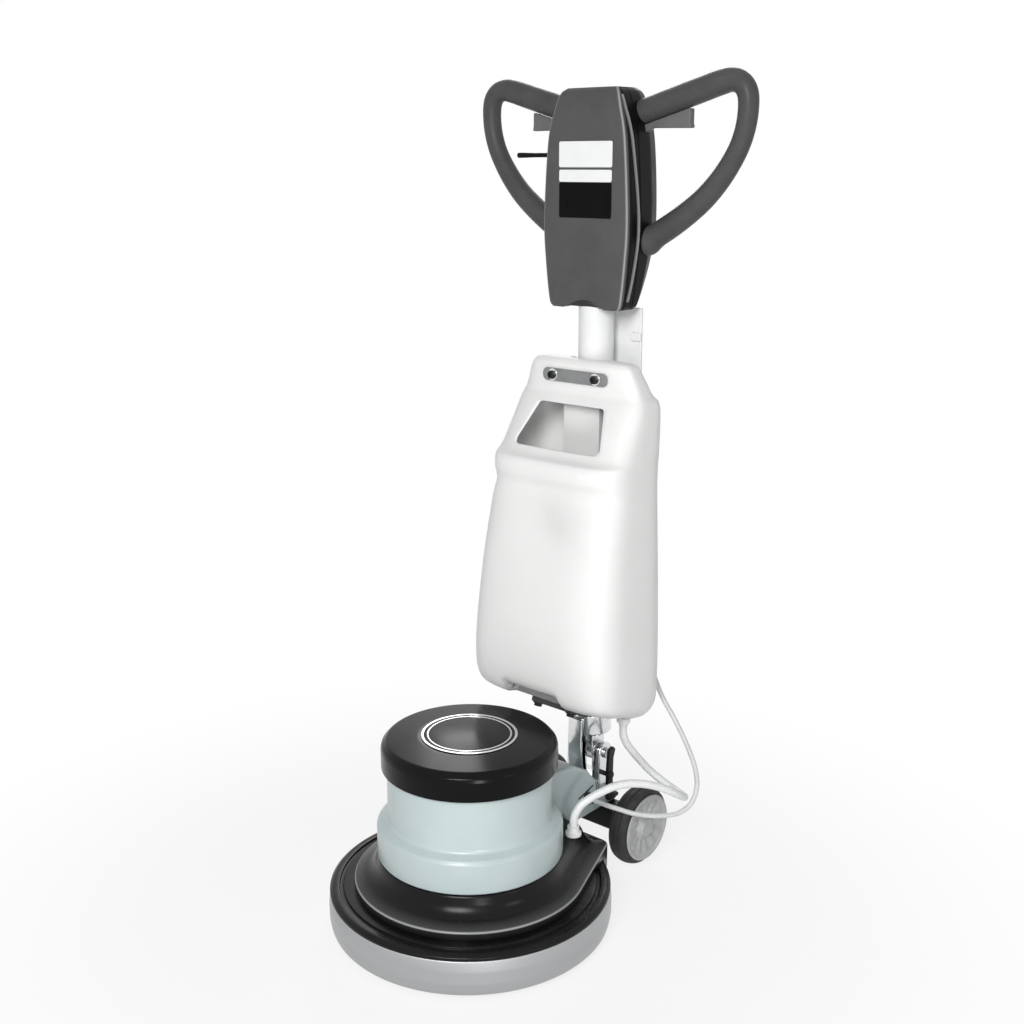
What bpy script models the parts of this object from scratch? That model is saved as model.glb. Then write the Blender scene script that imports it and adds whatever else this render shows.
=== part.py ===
"""Rotary floor machine: single-disc head, upright handle with solution tank, control console, transport wheels.

Metres. The front is -Y, +Z is up, and the origin is on the spindle axis at the floor.
"""

import math

import bmesh
import bpy
from mathutils import Matrix, Vector

# Clearance and facets
GAP = 0.0003                  # between touching pieces
ROUND = 32                    # facets of the large turned pieces
MID_ROUND = 24                # facets of the pole and the wheels
SMALL_ROUND = 16              # facets of pins, bearings and bolts
THROUGH = 0.010               # how far a cutter runs past the wall it cuts

# Pad, skirt and deck
PAD_R = 0.203
PAD_T = 0.022
PAD_EDGE = 0.003
DRIVER_T = 0.018
DRIVE_HUB_R = 0.070
DRIVE_HUB_T = 0.007
DRIVE_BOSS_R = 0.024
SKIRT_CLEAR = 0.0055          # between pad and skirt
SKIRT_WALL = 0.0115
SKIRT_IN = PAD_R + SKIRT_CLEAR
SKIRT_R = SKIRT_IN + SKIRT_WALL
SKIRT_LIP = 0.0070            # lower edge of the skirt above the floor
DECK_Z = 0.0745               # top of the deck plate
DECK_T = 0.0145
DECK_RIM_T = 0.0087           # the part of the deck plate that lies on the skirt
COVER_IN = 0.040              # cover inside the skirt
COVER_R = SKIRT_R - COVER_IN
COVER_TAPER = math.radians(21.5)
COVER_REAR_IN = 0.009
COVER_REAR_Y = SKIRT_R - COVER_REAR_IN
COVER_CORNER = 0.012
COVER_DROP = 0.0265           # the cover's tail below the deck
COVER_TAIL_Z = DECK_Z - COVER_DROP

# Motor and gear stage
COVER_H = 0.0505
FLANGE_Z = DECK_Z + COVER_H   # seat of the motor housing
FLANGE_H = 0.050              # height of its wide lower part
MOTOR_R = 0.1265
MOTOR_WALL = 0.008
MOTOR_FLOOR = 0.015
MOTOR_H = 0.152
MOTOR_TOP_Z = FLANGE_Z + MOTOR_H
FLANGE_OVER = 0.017           # flange outside the housing
FLANGE_R = MOTOR_R + FLANGE_OVER
CAP_OVER = 0.0085             # cap outside the housing
CAP_R = MOTOR_R + CAP_OVER
CAP_LAP = 0.009               # cap down over the housing
CAP_Z = MOTOR_TOP_Z - CAP_LAP
CAP_H = 0.034                 # cap above the housing
CAP_TOP_Z = MOTOR_TOP_Z + CAP_H
CAP_CROWN = 0.004             # rise of the cap at its middle
CAP_SHELL = 0.005
BADGE_IN = 0.0615             # badge inside the cap's rim
BADGE_R = CAP_R - BADGE_IN
BADGE_T = 0.0014
BADGE_FACE = 0.0007           # height of the badge between its two raised rings
SHAFT_R = 0.012
BEARING_R = 0.026
BEARING_T = 0.015
MODULE = 0.002
SUN_TEETH = 12
PLANET_TEETH = 24
RING_TEETH = SUN_TEETH + 2 * PLANET_TEETH
PLANETS = 3
GEAR_T = 0.012
GEAR_DROP = 0.0248            # gears' lower face below the motor's seat
GEAR_Z = FLANGE_Z - GEAR_DROP
CARRIER_R = 0.050
CARRIER_T = 0.010
PLANET_PIN_R = 0.006
RING_WALL = 0.012
CASE_WALL = 0.013
RING_OUT = MODULE * RING_TEETH / 2 + RING_WALL
CASE_R = RING_OUT + GAP + CASE_WALL
STATOR_IN = 0.072
FAN_R = 0.070
FAN_HUB_R = 0.020
FAN_H = 0.019
FAN_DISC_T = 0.003
FAN_BLADE_T = 0.0024
FAN_BLADES = 8

# Neck, hinge and wheels
NECK_HALF = 0.045
POLE_BACK = 0.080             # pole behind the skirt
POLE_Y = SKIRT_R + POLE_BACK
POLE_R = 0.028
POLE_WALL = 0.003
EAR_HALF = 0.034
EAR_R = 0.018
LUG_HALF = 0.018
LUG_R = 0.017
PIN_R = 0.006
FOOT_HALF = 0.022             # half depth of the fork's foot
FOOT_H = 0.014
LEVER_T = 0.006
LEVER_STUB_R = 0.004
AXLE_AHEAD = 0.001
AXLE_Y = POLE_Y - AXLE_AHEAD
AXLE_UP = 0.0075
AXLE_Z = DECK_Z + AXLE_UP
AXLE_R = 0.008
BRACKET_T = 0.018             # bracket above the axle
WHEEL_R = 0.066
HUB_R = 0.046
HUB_BACK_X = 0.080
HUB_W = 0.046
HUB_FACE_X = HUB_BACK_X + HUB_W
HUB_BOSS_R = 0.016
SHELF_H = 0.030               # neck's rear shelf above the bracket
HINGE_UP = 0.060              # hinge above the shelf
HINGE_Z = AXLE_Z + BRACKET_T + SHELF_H + HINGE_UP

# Handle, tank and console
SOCKET_UP = 0.035
SOCKET_Z = HINGE_Z + SOCKET_UP
SOCKET_H = 0.037
SOCKET_TOP_Z = SOCKET_Z + SOCKET_H
SOCKET_WALL = 0.008
SOCKET_FLOOR = 0.007
TANK_CLEAR = 0.006            # tank above the socket
TANK_Z = SOCKET_TOP_Z + TANK_CLEAR
TANK_H = 0.590
TANK_BELLY_H = 0.094          # lower swell of the tank
TANK_HEAD_H = 0.194           # lip, mouth and top of the tank
TANK_RUN = TANK_H - TANK_BELLY_H - TANK_HEAD_H
TANK_WALL = 0.005
TANK_BACK = 0.031             # tank's back behind the pole's axis
CHANNEL_CLEAR = 0.002         # round the pole in the tank's channel
CHANNEL_OVER = 0.142          # how far the channel's cutter runs past the tank's top
CHANNEL_BEHIND = 0.100        # and behind the pole's axis
MOUTH_AHEAD = 0.012           # how far the mouth's cutter runs past the tank's belly
CONSOLE_OVER = 0.078          # console above the tank
CONSOLE_Z = TANK_Z + TANK_H + CONSOLE_OVER
CONSOLE_BACK = 0.062          # console's back behind the pole's axis
CONSOLE_WALL = 0.003
LOOP_BACK = 0.027
LOOP_Y = POLE_Y + LOOP_BACK
LOOP_R = 0.0185
LOOP_HOLE_CLEAR = 0.0005
TRIGGER_X = 0.056
TRIGGER_HALF = 0.006
TRIGGER_REACH = 0.093
TRIGGER_SWING = 0.006         # room for the trigger in its slot
WATER_X = -0.058
WATER_UP = 0.230
WATER_Z = CONSOLE_Z + WATER_UP
WATER_BACK = 0.012
WATER_Y = POLE_Y + WATER_BACK
WATER_R = 0.0035
WATER_REACH = 0.115
PLATE_HALF = 0.063
PLATE_H = 0.020
PLATE_T = 0.004
PLATE_BOLT_IN = 0.021
PLATE_LEVEL = 12              # the tank level whose front face carries the top plate
STRAP_HALF = 0.045
STRAP_T = 0.006
STRAP_BOLT_IN = 0.011
STRAP_SLOT_HALF = 0.020
BOLT_R = 0.0095
BOLT_HEX_R = 0.0068
BOLT_H = 0.0065
PANEL_HALF = 0.062
PANEL_T = 0.0045
PANEL_UP = 0.232
PANEL_Z = TANK_Z + PANEL_UP
RIB_T = 0.003                 # ribs between the panel and the tank's back
RIB_UP = 0.060
RIB_H = 0.210
LABEL_HALF = 0.050
LABEL_T = 0.002
GLAND_R = 0.014
GLAND_H = 0.026
HOSE_R = 0.0065
LEAD_R = 0.0040
INLET_R = 0.013
INLET_H = 0.0155

# Tank levels: height over TANK_Z at the rear, rise to the front, half width, front and rear from the pole
TANK_LEVELS = (
    (0.000, 0.046, 0.1060, -0.120, 0.010),
    (0.011, 0.043, 0.1240, -0.145, 0.022),
    (0.038, 0.034, 0.1390, -0.162, TANK_BACK),
    (TANK_BELLY_H, 0.016, 0.1425, -0.168, TANK_BACK),
    (TANK_BELLY_H + 78 / 302 * TANK_RUN, 0.000, 0.1410, -0.165, TANK_BACK),
    (TANK_BELLY_H + 178 / 302 * TANK_RUN, 0.000, 0.1360, -0.152, TANK_BACK),
    (TANK_BELLY_H + 268 / 302 * TANK_RUN, 0.000, 0.1300, -0.135, TANK_BACK),
    (TANK_H - TANK_HEAD_H, 0.000, 0.1275, -0.125, TANK_BACK),
    (TANK_H - 0.172, 0.000, 0.1280, -0.130, TANK_BACK),
    (TANK_H - 0.152, 0.000, 0.1280, -0.126, TANK_BACK),
    (TANK_H - 0.135, 0.000, 0.1270, -0.106, TANK_BACK),
    (TANK_H - 0.069, 0.000, 0.1210, -0.063, TANK_BACK),
    (TANK_H - 0.048, 0.000, 0.1130, -0.051, 0.014),
    (TANK_H - 0.015, 0.000, 0.1000, -0.051, 0.000),
    (TANK_H - 0.004, 0.000, 0.0920, -0.046, -0.008),
    (TANK_H, 0.000, 0.0820, -0.040, -0.016),
)
# Mouth of the tank: half width below and above, height over TANK_Z below and above
MOUTH = (0.085, 0.063, TANK_H - 0.134, TANK_H - 0.069)
# Console levels: height over CONSOLE_Z, half width, front and rear from the pole's axis
CONSOLE_LEVELS = (
    (0.000, 0.0640, -0.0320, 0.019),
    (0.012, 0.0700, -0.0335, 0.029),
    (0.069, 0.0770, -0.0345, 0.050),
    (0.135, 0.0805, -0.0350, CONSOLE_BACK),
    (0.250, 0.0735, -0.0350, CONSOLE_BACK),
    (0.299, 0.0620, -0.0320, 0.056),
    (0.319, 0.0550, -0.0280, 0.050),
    (0.327, 0.0470, -0.0210, 0.042),
)
LABEL_LEVELS = (3, 4)         # the console levels between which the label lies
POLE_DOWN = 0.063             # pole's top below the console's
POLE_TOP_Z = CONSOLE_Z + CONSOLE_LEVELS[-1][0] - POLE_DOWN
# Right handle loop: x, height over CONSOLE_Z, share of LOOP_R; from inside the console round to inside it again
LOOP_PATH = (
    (0.0460, 0.2880, 1.00), (0.0800, 0.2970, 1.00), (0.1470, 0.3155, 1.00), (0.1960, 0.3290, 0.97),
    (0.2160, 0.3315, 0.91), (0.2310, 0.3260, 0.86), (0.2400, 0.3140, 0.83), (0.2425, 0.2960, 0.81),
    (0.2400, 0.2700, 0.80), (0.2320, 0.2440, 0.80), (0.2190, 0.2200, 0.82), (0.2000, 0.1940, 0.86),
    (0.1760, 0.1690, 0.91), (0.1480, 0.1470, 0.96), (0.1160, 0.1260, 1.00), (0.0830, 0.1070, 1.00),
    (0.0500, 0.0900, 1.00),
)
TRIGGER_DROP = 0.026          # trigger's lower edge below the loop's first point
TRIGGER_Z = CONSOLE_Z + LOOP_PATH[0][1] - TRIGGER_DROP
# Free hose and lead, from the handle down to the head; their ends are moved onto what they join
HOSE_ROUTE = (
    (0.0800, 0.2860, 0.2570), (0.0803, 0.2864, 0.2400), (0.0832, 0.2925, 0.2235), (0.0878, 0.3035, 0.2065),
    (0.0934, 0.3158, 0.1895), (0.0991, 0.3266, 0.1748), (0.1067, 0.3371, 0.1611), (0.1176, 0.3458, 0.1493),
    (0.1319, 0.3503, 0.1408), (0.1482, 0.3486, 0.1372), (0.1636, 0.3408, 0.1386), (0.1758, 0.3286, 0.1441),
    (0.1840, 0.3141, 0.1522), (0.1882, 0.2986, 0.1617), (0.1883, 0.2828, 0.1719), (0.1843, 0.2674, 0.1818),
    (0.1769, 0.2523, 0.1903), (0.1669, 0.2377, 0.1967), (0.1553, 0.2231, 0.2004), (0.1432, 0.2086, 0.2010),
    (0.1315, 0.1940, 0.1984), (0.1205, 0.1785, 0.1922), (0.1095, 0.1625, 0.1835), (0.1005, 0.1475, 0.1725),
    (0.0962, 0.1395, 0.1585), (0.0951, 0.1372, 0.1480), (0.0950, 0.1370, 0.1405),
)
LEAD_ROUTE = (
    (0.0400, 0.3432, 0.5200), (0.0540, 0.3432, 0.4600), (0.0700, 0.3432, 0.4100), (0.0860, 0.3432, 0.3650),
    (0.1010, 0.3432, 0.3280), (0.1180, 0.3428, 0.2980), (0.1380, 0.3420, 0.2740), (0.1570, 0.3405, 0.2500),
    (0.1745, 0.3390, 0.2240), (0.1890, 0.3372, 0.1960), (0.1970, 0.3320, 0.1680), (0.1960, 0.3190, 0.1435),
    (0.1860, 0.3005, 0.1300), (0.1695, 0.2810, 0.1265), (0.1505, 0.2630, 0.1270), (0.1300, 0.2480, 0.1300),
    (0.1080, 0.2390, 0.1335), (0.0860, 0.2350, 0.1350), (0.0660, 0.2350, 0.1350), (0.0610, 0.2350, 0.1350),
)
HOSE_START = (0.080, POLE_Y - 0.014, TANK_Z - 0.011)
HOSE_BEARING = math.atan2(HOSE_ROUTE[-1][1], HOSE_ROUTE[-1][0])
HOSE_END_R = FLANGE_R + 0.0232        # the inlet's distance from the spindle
HOSE_END = (HOSE_END_R * math.cos(HOSE_BEARING), HOSE_END_R * math.sin(HOSE_BEARING), FLANGE_Z + INLET_H)
LEAD_START = (0.040, POLE_Y + TANK_BACK + RIB_T + PANEL_T + LEAD_R + 0.0007, TANK_Z + 0.252)
LEAD_END = (NECK_HALF + 0.016, POLE_Y - 0.065, FLANGE_Z + 0.010)

AXES = {
    "X": lambda a, b, c: Vector((c, a, b)),
    "Y": lambda a, b, c: Vector((a, c, b)),
    "Z": lambda a, b, c: Vector((a, b, c)),
}
ALONG_X = Matrix.Rotation(math.pi / 2, 4, "Y")
ALONG_Y = Matrix.Rotation(-math.pi / 2, 4, "X")
BACK_Y = Matrix.Rotation(math.pi / 2, 4, "X")
DOWN = Matrix.Rotation(math.pi, 4, "X")


def material(name, colour, roughness, metallic=0.0):
    made = bpy.data.materials.new(name)
    made.use_nodes = True
    shader = made.node_tree.nodes["Principled BSDF"]
    shader.inputs["Base Color"].default_value = (*colour, 1.0)
    shader.inputs["Roughness"].default_value = roughness
    shader.inputs["Metallic"].default_value = metallic
    return made


def add(name, bm, mat):
    """The bmesh as a new object with outward faces."""
    bmesh.ops.remove_doubles(bm, verts=bm.verts, dist=1e-6)
    bmesh.ops.recalc_face_normals(bm, faces=bm.faces)
    mesh = bpy.data.meshes.new(name)
    bm.to_mesh(mesh)
    bm.free()
    obj = bpy.data.objects.new(name, mesh)
    bpy.context.collection.objects.link(obj)
    if mat:
        mesh.materials.append(mat)
    return obj


def turned(name, profile, mat, facets=ROUND, place=None):
    """A profile of (radius, height) turned about Z, left open where it starts and ends on the axis."""
    bm = bmesh.new()
    points = [bm.verts.new((r, 0.0, z)) for r, z in profile]
    on_axis = profile[0][0] == 0.0 and profile[-1][0] == 0.0
    ends = points[1:] if on_axis else points[1:] + points[:1]
    edges = [bm.edges.new(pair) for pair in zip(points, ends)]
    bmesh.ops.spin(bm, geom=points + edges, cent=(0, 0, 0), axis=(0, 0, 1), angle=2 * math.pi, steps=facets,
                   use_merge=True)
    if place:
        bmesh.ops.transform(bm, matrix=place, verts=bm.verts)
    return add(name, bm, mat)


def rod(name, radius, low, high, mat, place=None, facets=SMALL_ROUND):
    return turned(name, ((0.0, low), (radius, low), (radius, high), (0.0, high)), mat, facets, place)


def sleeve(name, inner, outer, low, high, mat, place=None, facets=SMALL_ROUND):
    return turned(name, ((inner, low), (outer, low), (outer, high), (inner, high)), mat, facets, place)


def prism(name, axis, outline, low, high, mat):
    """An outline in the plane across an axis, extruded along it."""
    bm = bmesh.new()
    face = bm.faces.new([bm.verts.new(AXES[axis](a, b, low)) for a, b in outline])
    made = bmesh.ops.extrude_face_region(bm, geom=[face])
    moved = [item for item in made["geom"] if isinstance(item, bmesh.types.BMVert)]
    bmesh.ops.translate(bm, verts=moved, vec=AXES[axis](0.0, 0.0, high - low))
    return add(name, bm, mat)


def block(name, low, high, mat):
    outline = ((low[0], low[1]), (high[0], low[1]), (high[0], high[1]), (low[0], high[1]))
    return prism(name, "Z", outline, low[2], high[2], mat)


def loft(name, rings, mat):
    """Rings of equal point counts bridged in order, and closed at both ends."""
    bm = bmesh.new()
    loops = [[bm.verts.new(point) for point in ring] for ring in rings]
    edges = []
    for loop in loops:
        edges += [bm.edges.new(pair) for pair in zip(loop, loop[1:] + loop[:1])]
    for lower, upper in zip(loops, loops[1:]):
        chosen = [edge for edge in edges if edge.verts[0] in lower or edge.verts[0] in upper]
        bmesh.ops.bridge_loops(bm, edges=chosen)
    bm.faces.new(loops[0])
    bm.faces.new(loops[-1])
    return add(name, bm, mat)


def tube(name, points, radius, mat, sides=2, swell=None):
    """A bevelled curve along points with closed ends; swell scales its radius at each point."""
    curve = bpy.data.curves.new(name, "CURVE")
    curve.dimensions = "3D"
    curve.bevel_depth = radius
    curve.bevel_resolution = sides
    curve.use_fill_caps = True
    spline = curve.splines.new("POLY")
    spline.points.add(len(points) - 1)
    for target, point, share in zip(spline.points, points, swell or [1.0] * len(points)):
        target.co = (*point, 1.0)
        target.radius = share
    curve.materials.append(mat)
    obj = bpy.data.objects.new(name, curve)
    bpy.context.collection.objects.link(obj)
    return obj


def boolean(obj, other, operation):
    """Cuts or joins a hidden helper with the EXACT solver."""
    other.hide_render = True
    other.display_type = "WIRE"
    modifier = obj.modifiers.new(operation.lower(), "BOOLEAN")
    modifier.operation = operation
    modifier.solver = "EXACT"
    modifier.object = other


def cut(obj, other):
    boolean(obj, other, "DIFFERENCE")


def join(obj, other):
    boolean(obj, other, "UNION")


def bevel(obj, width, segments=1):
    modifier = obj.modifiers.new("edges", "BEVEL")
    modifier.width = width
    modifier.segments = segments
    modifier.limit_method = "ANGLE"
    modifier.angle_limit = math.radians(40)


def pivot(obj, point):
    """Puts the origin of an object on its joint, without moving its shape."""
    obj.data.transform(Matrix.Translation(-Vector(point)))
    obj.location = point


def at(x, y, z):
    return Matrix.Translation((x, y, z))


def aligned(start, end):
    """A matrix that puts a rod made along Z from 0 onto the line between two points."""
    direction = Vector(end) - Vector(start)
    return Matrix.Translation(start) @ direction.to_track_quat("Z", "Y").to_matrix().to_4x4()


def hung(route, start, end):
    """A route moved to a new start and end: its end pieces keep their direction, the rest follows the start."""
    first = Vector(start) - Vector(route[0])
    last = Vector(end) - Vector(route[-1])
    steps = len(route) - 3
    shares = [min(max((i - 1) / steps, 0.0), 1.0) ** 3 for i in range(len(route))]
    return [tuple(Vector(point) + first.lerp(last, share)) for point, share in zip(route, shares)]


def arc(centre, radius, start, sweep, steps):
    """Points on a circle in a plane, from one angle through a sweep."""
    angles = [start + sweep * i / steps for i in range(steps + 1)]
    return [(centre[0] + radius * math.cos(angle),
             centre[1] + radius * math.sin(angle)) for angle in angles]


def oval(half, front, rear, height, points=28, power=4.0):
    """A rounded rectangle as a superellipse, in the plane of one height."""
    ring = []
    for i in range(points):
        t = 2 * math.pi * (i + 0.5) / points
        x = math.copysign(abs(math.cos(t)) ** (2 / power), math.cos(t))
        y = math.copysign(abs(math.sin(t)) ** (2 / power), math.sin(t))
        ring.append((half * x, (front + rear) / 2 + (rear - front) / 2 * y, height))
    return ring


def gear_outline(teeth, inward=False, turn=0.0):
    """Four points a tooth: shortened, thinned trapezoids that leave backlash at every step."""
    pitch_r = MODULE * teeth / 2
    side = -1.0 if inward else 1.0
    root = pitch_r - side * 1.05 * MODULE
    tip = pitch_r + side * 0.75 * MODULE
    step = 2 * math.pi / teeth
    outline = []
    for i in range(teeth):
        for share, radius in ((-0.29, root), (-0.11, tip), (0.11, tip), (0.29, root)):
            angle = turn + step * (i + share)
            outline.append((radius * math.cos(angle), radius * math.sin(angle)))
    return outline


def cover_outline(inset):
    """The deck cover from above: a round front, straight sides tapering to a straight rear edge."""
    radius = COVER_R - inset
    points = arc((0.0, 0.0), radius, COVER_TAPER, -math.pi - 2 * COVER_TAPER, 16)
    rear = COVER_REAR_Y - inset
    start_x, start_y = points[0]
    corner_x = start_x - (rear - start_y) * math.tan(COVER_TAPER)
    side_x = corner_x + COVER_CORNER * math.tan(COVER_TAPER)
    points += [(-side_x, rear - COVER_CORNER), (-corner_x + COVER_CORNER, rear)]
    points += [(corner_x - COVER_CORNER, rear), (side_x, rear - COVER_CORNER)]
    return points


def build_disc(mats):
    """Pad, driver, skirt, deck plate and deck cover."""
    driver_z = PAD_T + GAP
    driver_top = driver_z + DRIVER_T
    under = DECK_Z - DECK_T
    hub_z = driver_top + GAP
    hub_top = under - 2 * GAP
    bore = SHAFT_R + GAP
    turned("floor_pad", ((0, 0), (PAD_R - PAD_EDGE, 0), (PAD_R, PAD_EDGE), (PAD_R, PAD_T - PAD_EDGE),
                         (PAD_R - PAD_EDGE, PAD_T), (0, PAD_T)), mats["pad_fibre"])
    turned("pad_driver", ((0, driver_z), (PAD_R - 0.006, driver_z), (PAD_R - 0.005, driver_z + 0.008),
                          (PAD_R - 0.018, driver_top), (0, driver_top)), mats["driver_plastic"])
    turned("drive_hub", ((0, hub_z), (DRIVE_HUB_R, hub_z), (DRIVE_HUB_R, hub_z + DRIVE_HUB_T),
                         (DRIVE_BOSS_R, hub_z + DRIVE_HUB_T + 0.002), (DRIVE_BOSS_R, hub_top),
                         (bore, hub_top), (bore, hub_z + 0.004), (0, hub_z + 0.004)),
                         mats["cast_aluminium"])

    rim = SKIRT_R - 0.001
    seat = DECK_Z - DECK_RIM_T
    turned("deck_plate", ((CASE_R + GAP, under), (SKIRT_IN - 0.006, under), (SKIRT_IN - 0.006, seat),
                          (rim - 0.001, seat), (rim, DECK_Z - 0.005), (rim - 0.004, DECK_Z - 0.001),
                          (rim - 0.009, DECK_Z), (rim - 0.016, DECK_Z), (rim - 0.018, DECK_Z - 0.003),
                          (rim - 0.021, DECK_Z - 0.003), (rim - 0.023, DECK_Z), (CASE_R + GAP, DECK_Z)),
           mats["black_gloss"])
    top = seat - GAP
    turned("skirt_ring", ((SKIRT_IN, SKIRT_LIP + 0.002), (SKIRT_R - 0.009, SKIRT_LIP),
                          (SKIRT_R - 0.004, SKIRT_LIP + 0.005), (SKIRT_R - 0.001, SKIRT_LIP + 0.013),
                          (SKIRT_R, SKIRT_LIP + 0.024), (SKIRT_R, SKIRT_LIP + 0.040),
                          (SKIRT_R - 0.002, top),
                          (SKIRT_IN, top)), mats["satin_silver"])

    base = DECK_Z + GAP
    steps = ((0.0, base), (0.0, base + 0.0095), (0.004, base + 0.0135), (0.030, base + 0.0245),
             (0.042, FLANGE_Z - 2 * GAP))
    rings = [[(x, y, z) for x, y in cover_outline(inset)] for inset, z in steps]
    cover = loft("deck_cover", rings, mats["deck_gloss"])
    ends = (COVER_TAIL_Z, base + 0.001)
    tail = loft("cover_tail", [[(x, y, z) for x, y in cover_outline(0.0)] for z in ends], None)
    cut(tail, rod("tail_bore", SKIRT_R + 4 * GAP, COVER_TAIL_Z - THROUGH, base, None, facets=ROUND))
    join(cover, tail)
    cut(cover, rod("cover_bore", CASE_R + GAP, base - THROUGH, FLANGE_Z + THROUGH, None, facets=ROUND))


def build_gears(mats):
    """Sun, planets, ring and carrier of the reduction under the motor, in their case."""
    steel = mats["steel"]
    under = DECK_Z - DECK_T
    gear_top = GEAR_Z + GEAR_T
    hub_z = PAD_T + DRIVER_T + 2 * GAP
    carrier_z = GEAR_Z - GAP - CARRIER_T
    floor_z = carrier_z - 0.0013
    bearing_r = BEARING_R - 0.004
    carrier = rod("planet_carrier", CARRIER_R, carrier_z, carrier_z + CARRIER_T, steel, facets=ROUND)
    join(carrier, rod("carrier_shaft", SHAFT_R, hub_z + 0.0045, carrier_z + CARRIER_T / 2, steel))
    orbit = MODULE * (SUN_TEETH + PLANET_TEETH) / 2
    for i in range(PLANETS):
        angle = 2 * math.pi * i / PLANETS
        centre = (orbit * math.cos(angle), orbit * math.sin(angle), 0.0)
        join(carrier, rod(f"carrier_pin_{i + 1}", PLANET_PIN_R, carrier_z + CARRIER_T / 2,
                          gear_top + 0.002, steel,
                          at(*centre)))
        turn = angle + math.pi + math.pi / PLANET_TEETH
        outline = [(a + centre[0], b + centre[1]) for a, b in gear_outline(PLANET_TEETH, turn=turn)]
        planet = prism(f"planet_gear_{i + 1}", "Z", outline, GEAR_Z, gear_top, mats[f"gear_steel_{i + 1}"])
        cut(planet, rod(f"planet_bore_{i + 1}", PLANET_PIN_R + GAP, GEAR_Z - THROUGH, gear_top + THROUGH,
                        None,
                        at(*centre)))
        pivot(planet, centre)
    ring = rod("ring_gear", RING_OUT, GEAR_Z, gear_top, mats["ring_steel"], facets=ROUND)
    teeth = gear_outline(RING_TEETH, inward=True)
    cut(ring, prism("ring_teeth", "Z", teeth, GEAR_Z - THROUGH, gear_top + THROUGH, None))
    clear = CARRIER_R + 0.0035
    turned("gearbox_case", ((bearing_r + GAP, under), (CASE_R, under), (CASE_R, FLANGE_Z - GAP),
                            (RING_OUT - 0.003, FLANGE_Z - GAP), (RING_OUT - 0.003, gear_top + GAP),
                            (RING_OUT + GAP, gear_top + GAP), (RING_OUT + GAP, GEAR_Z - GAP),
                            (clear, GEAR_Z - GAP), (clear, floor_z), (bearing_r + GAP, floor_z)),
           mats["cast_aluminium"])
    sleeve("output_bearing", SHAFT_R + GAP, bearing_r, under + 0.006, floor_z, mats["bearing_steel"])


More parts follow.
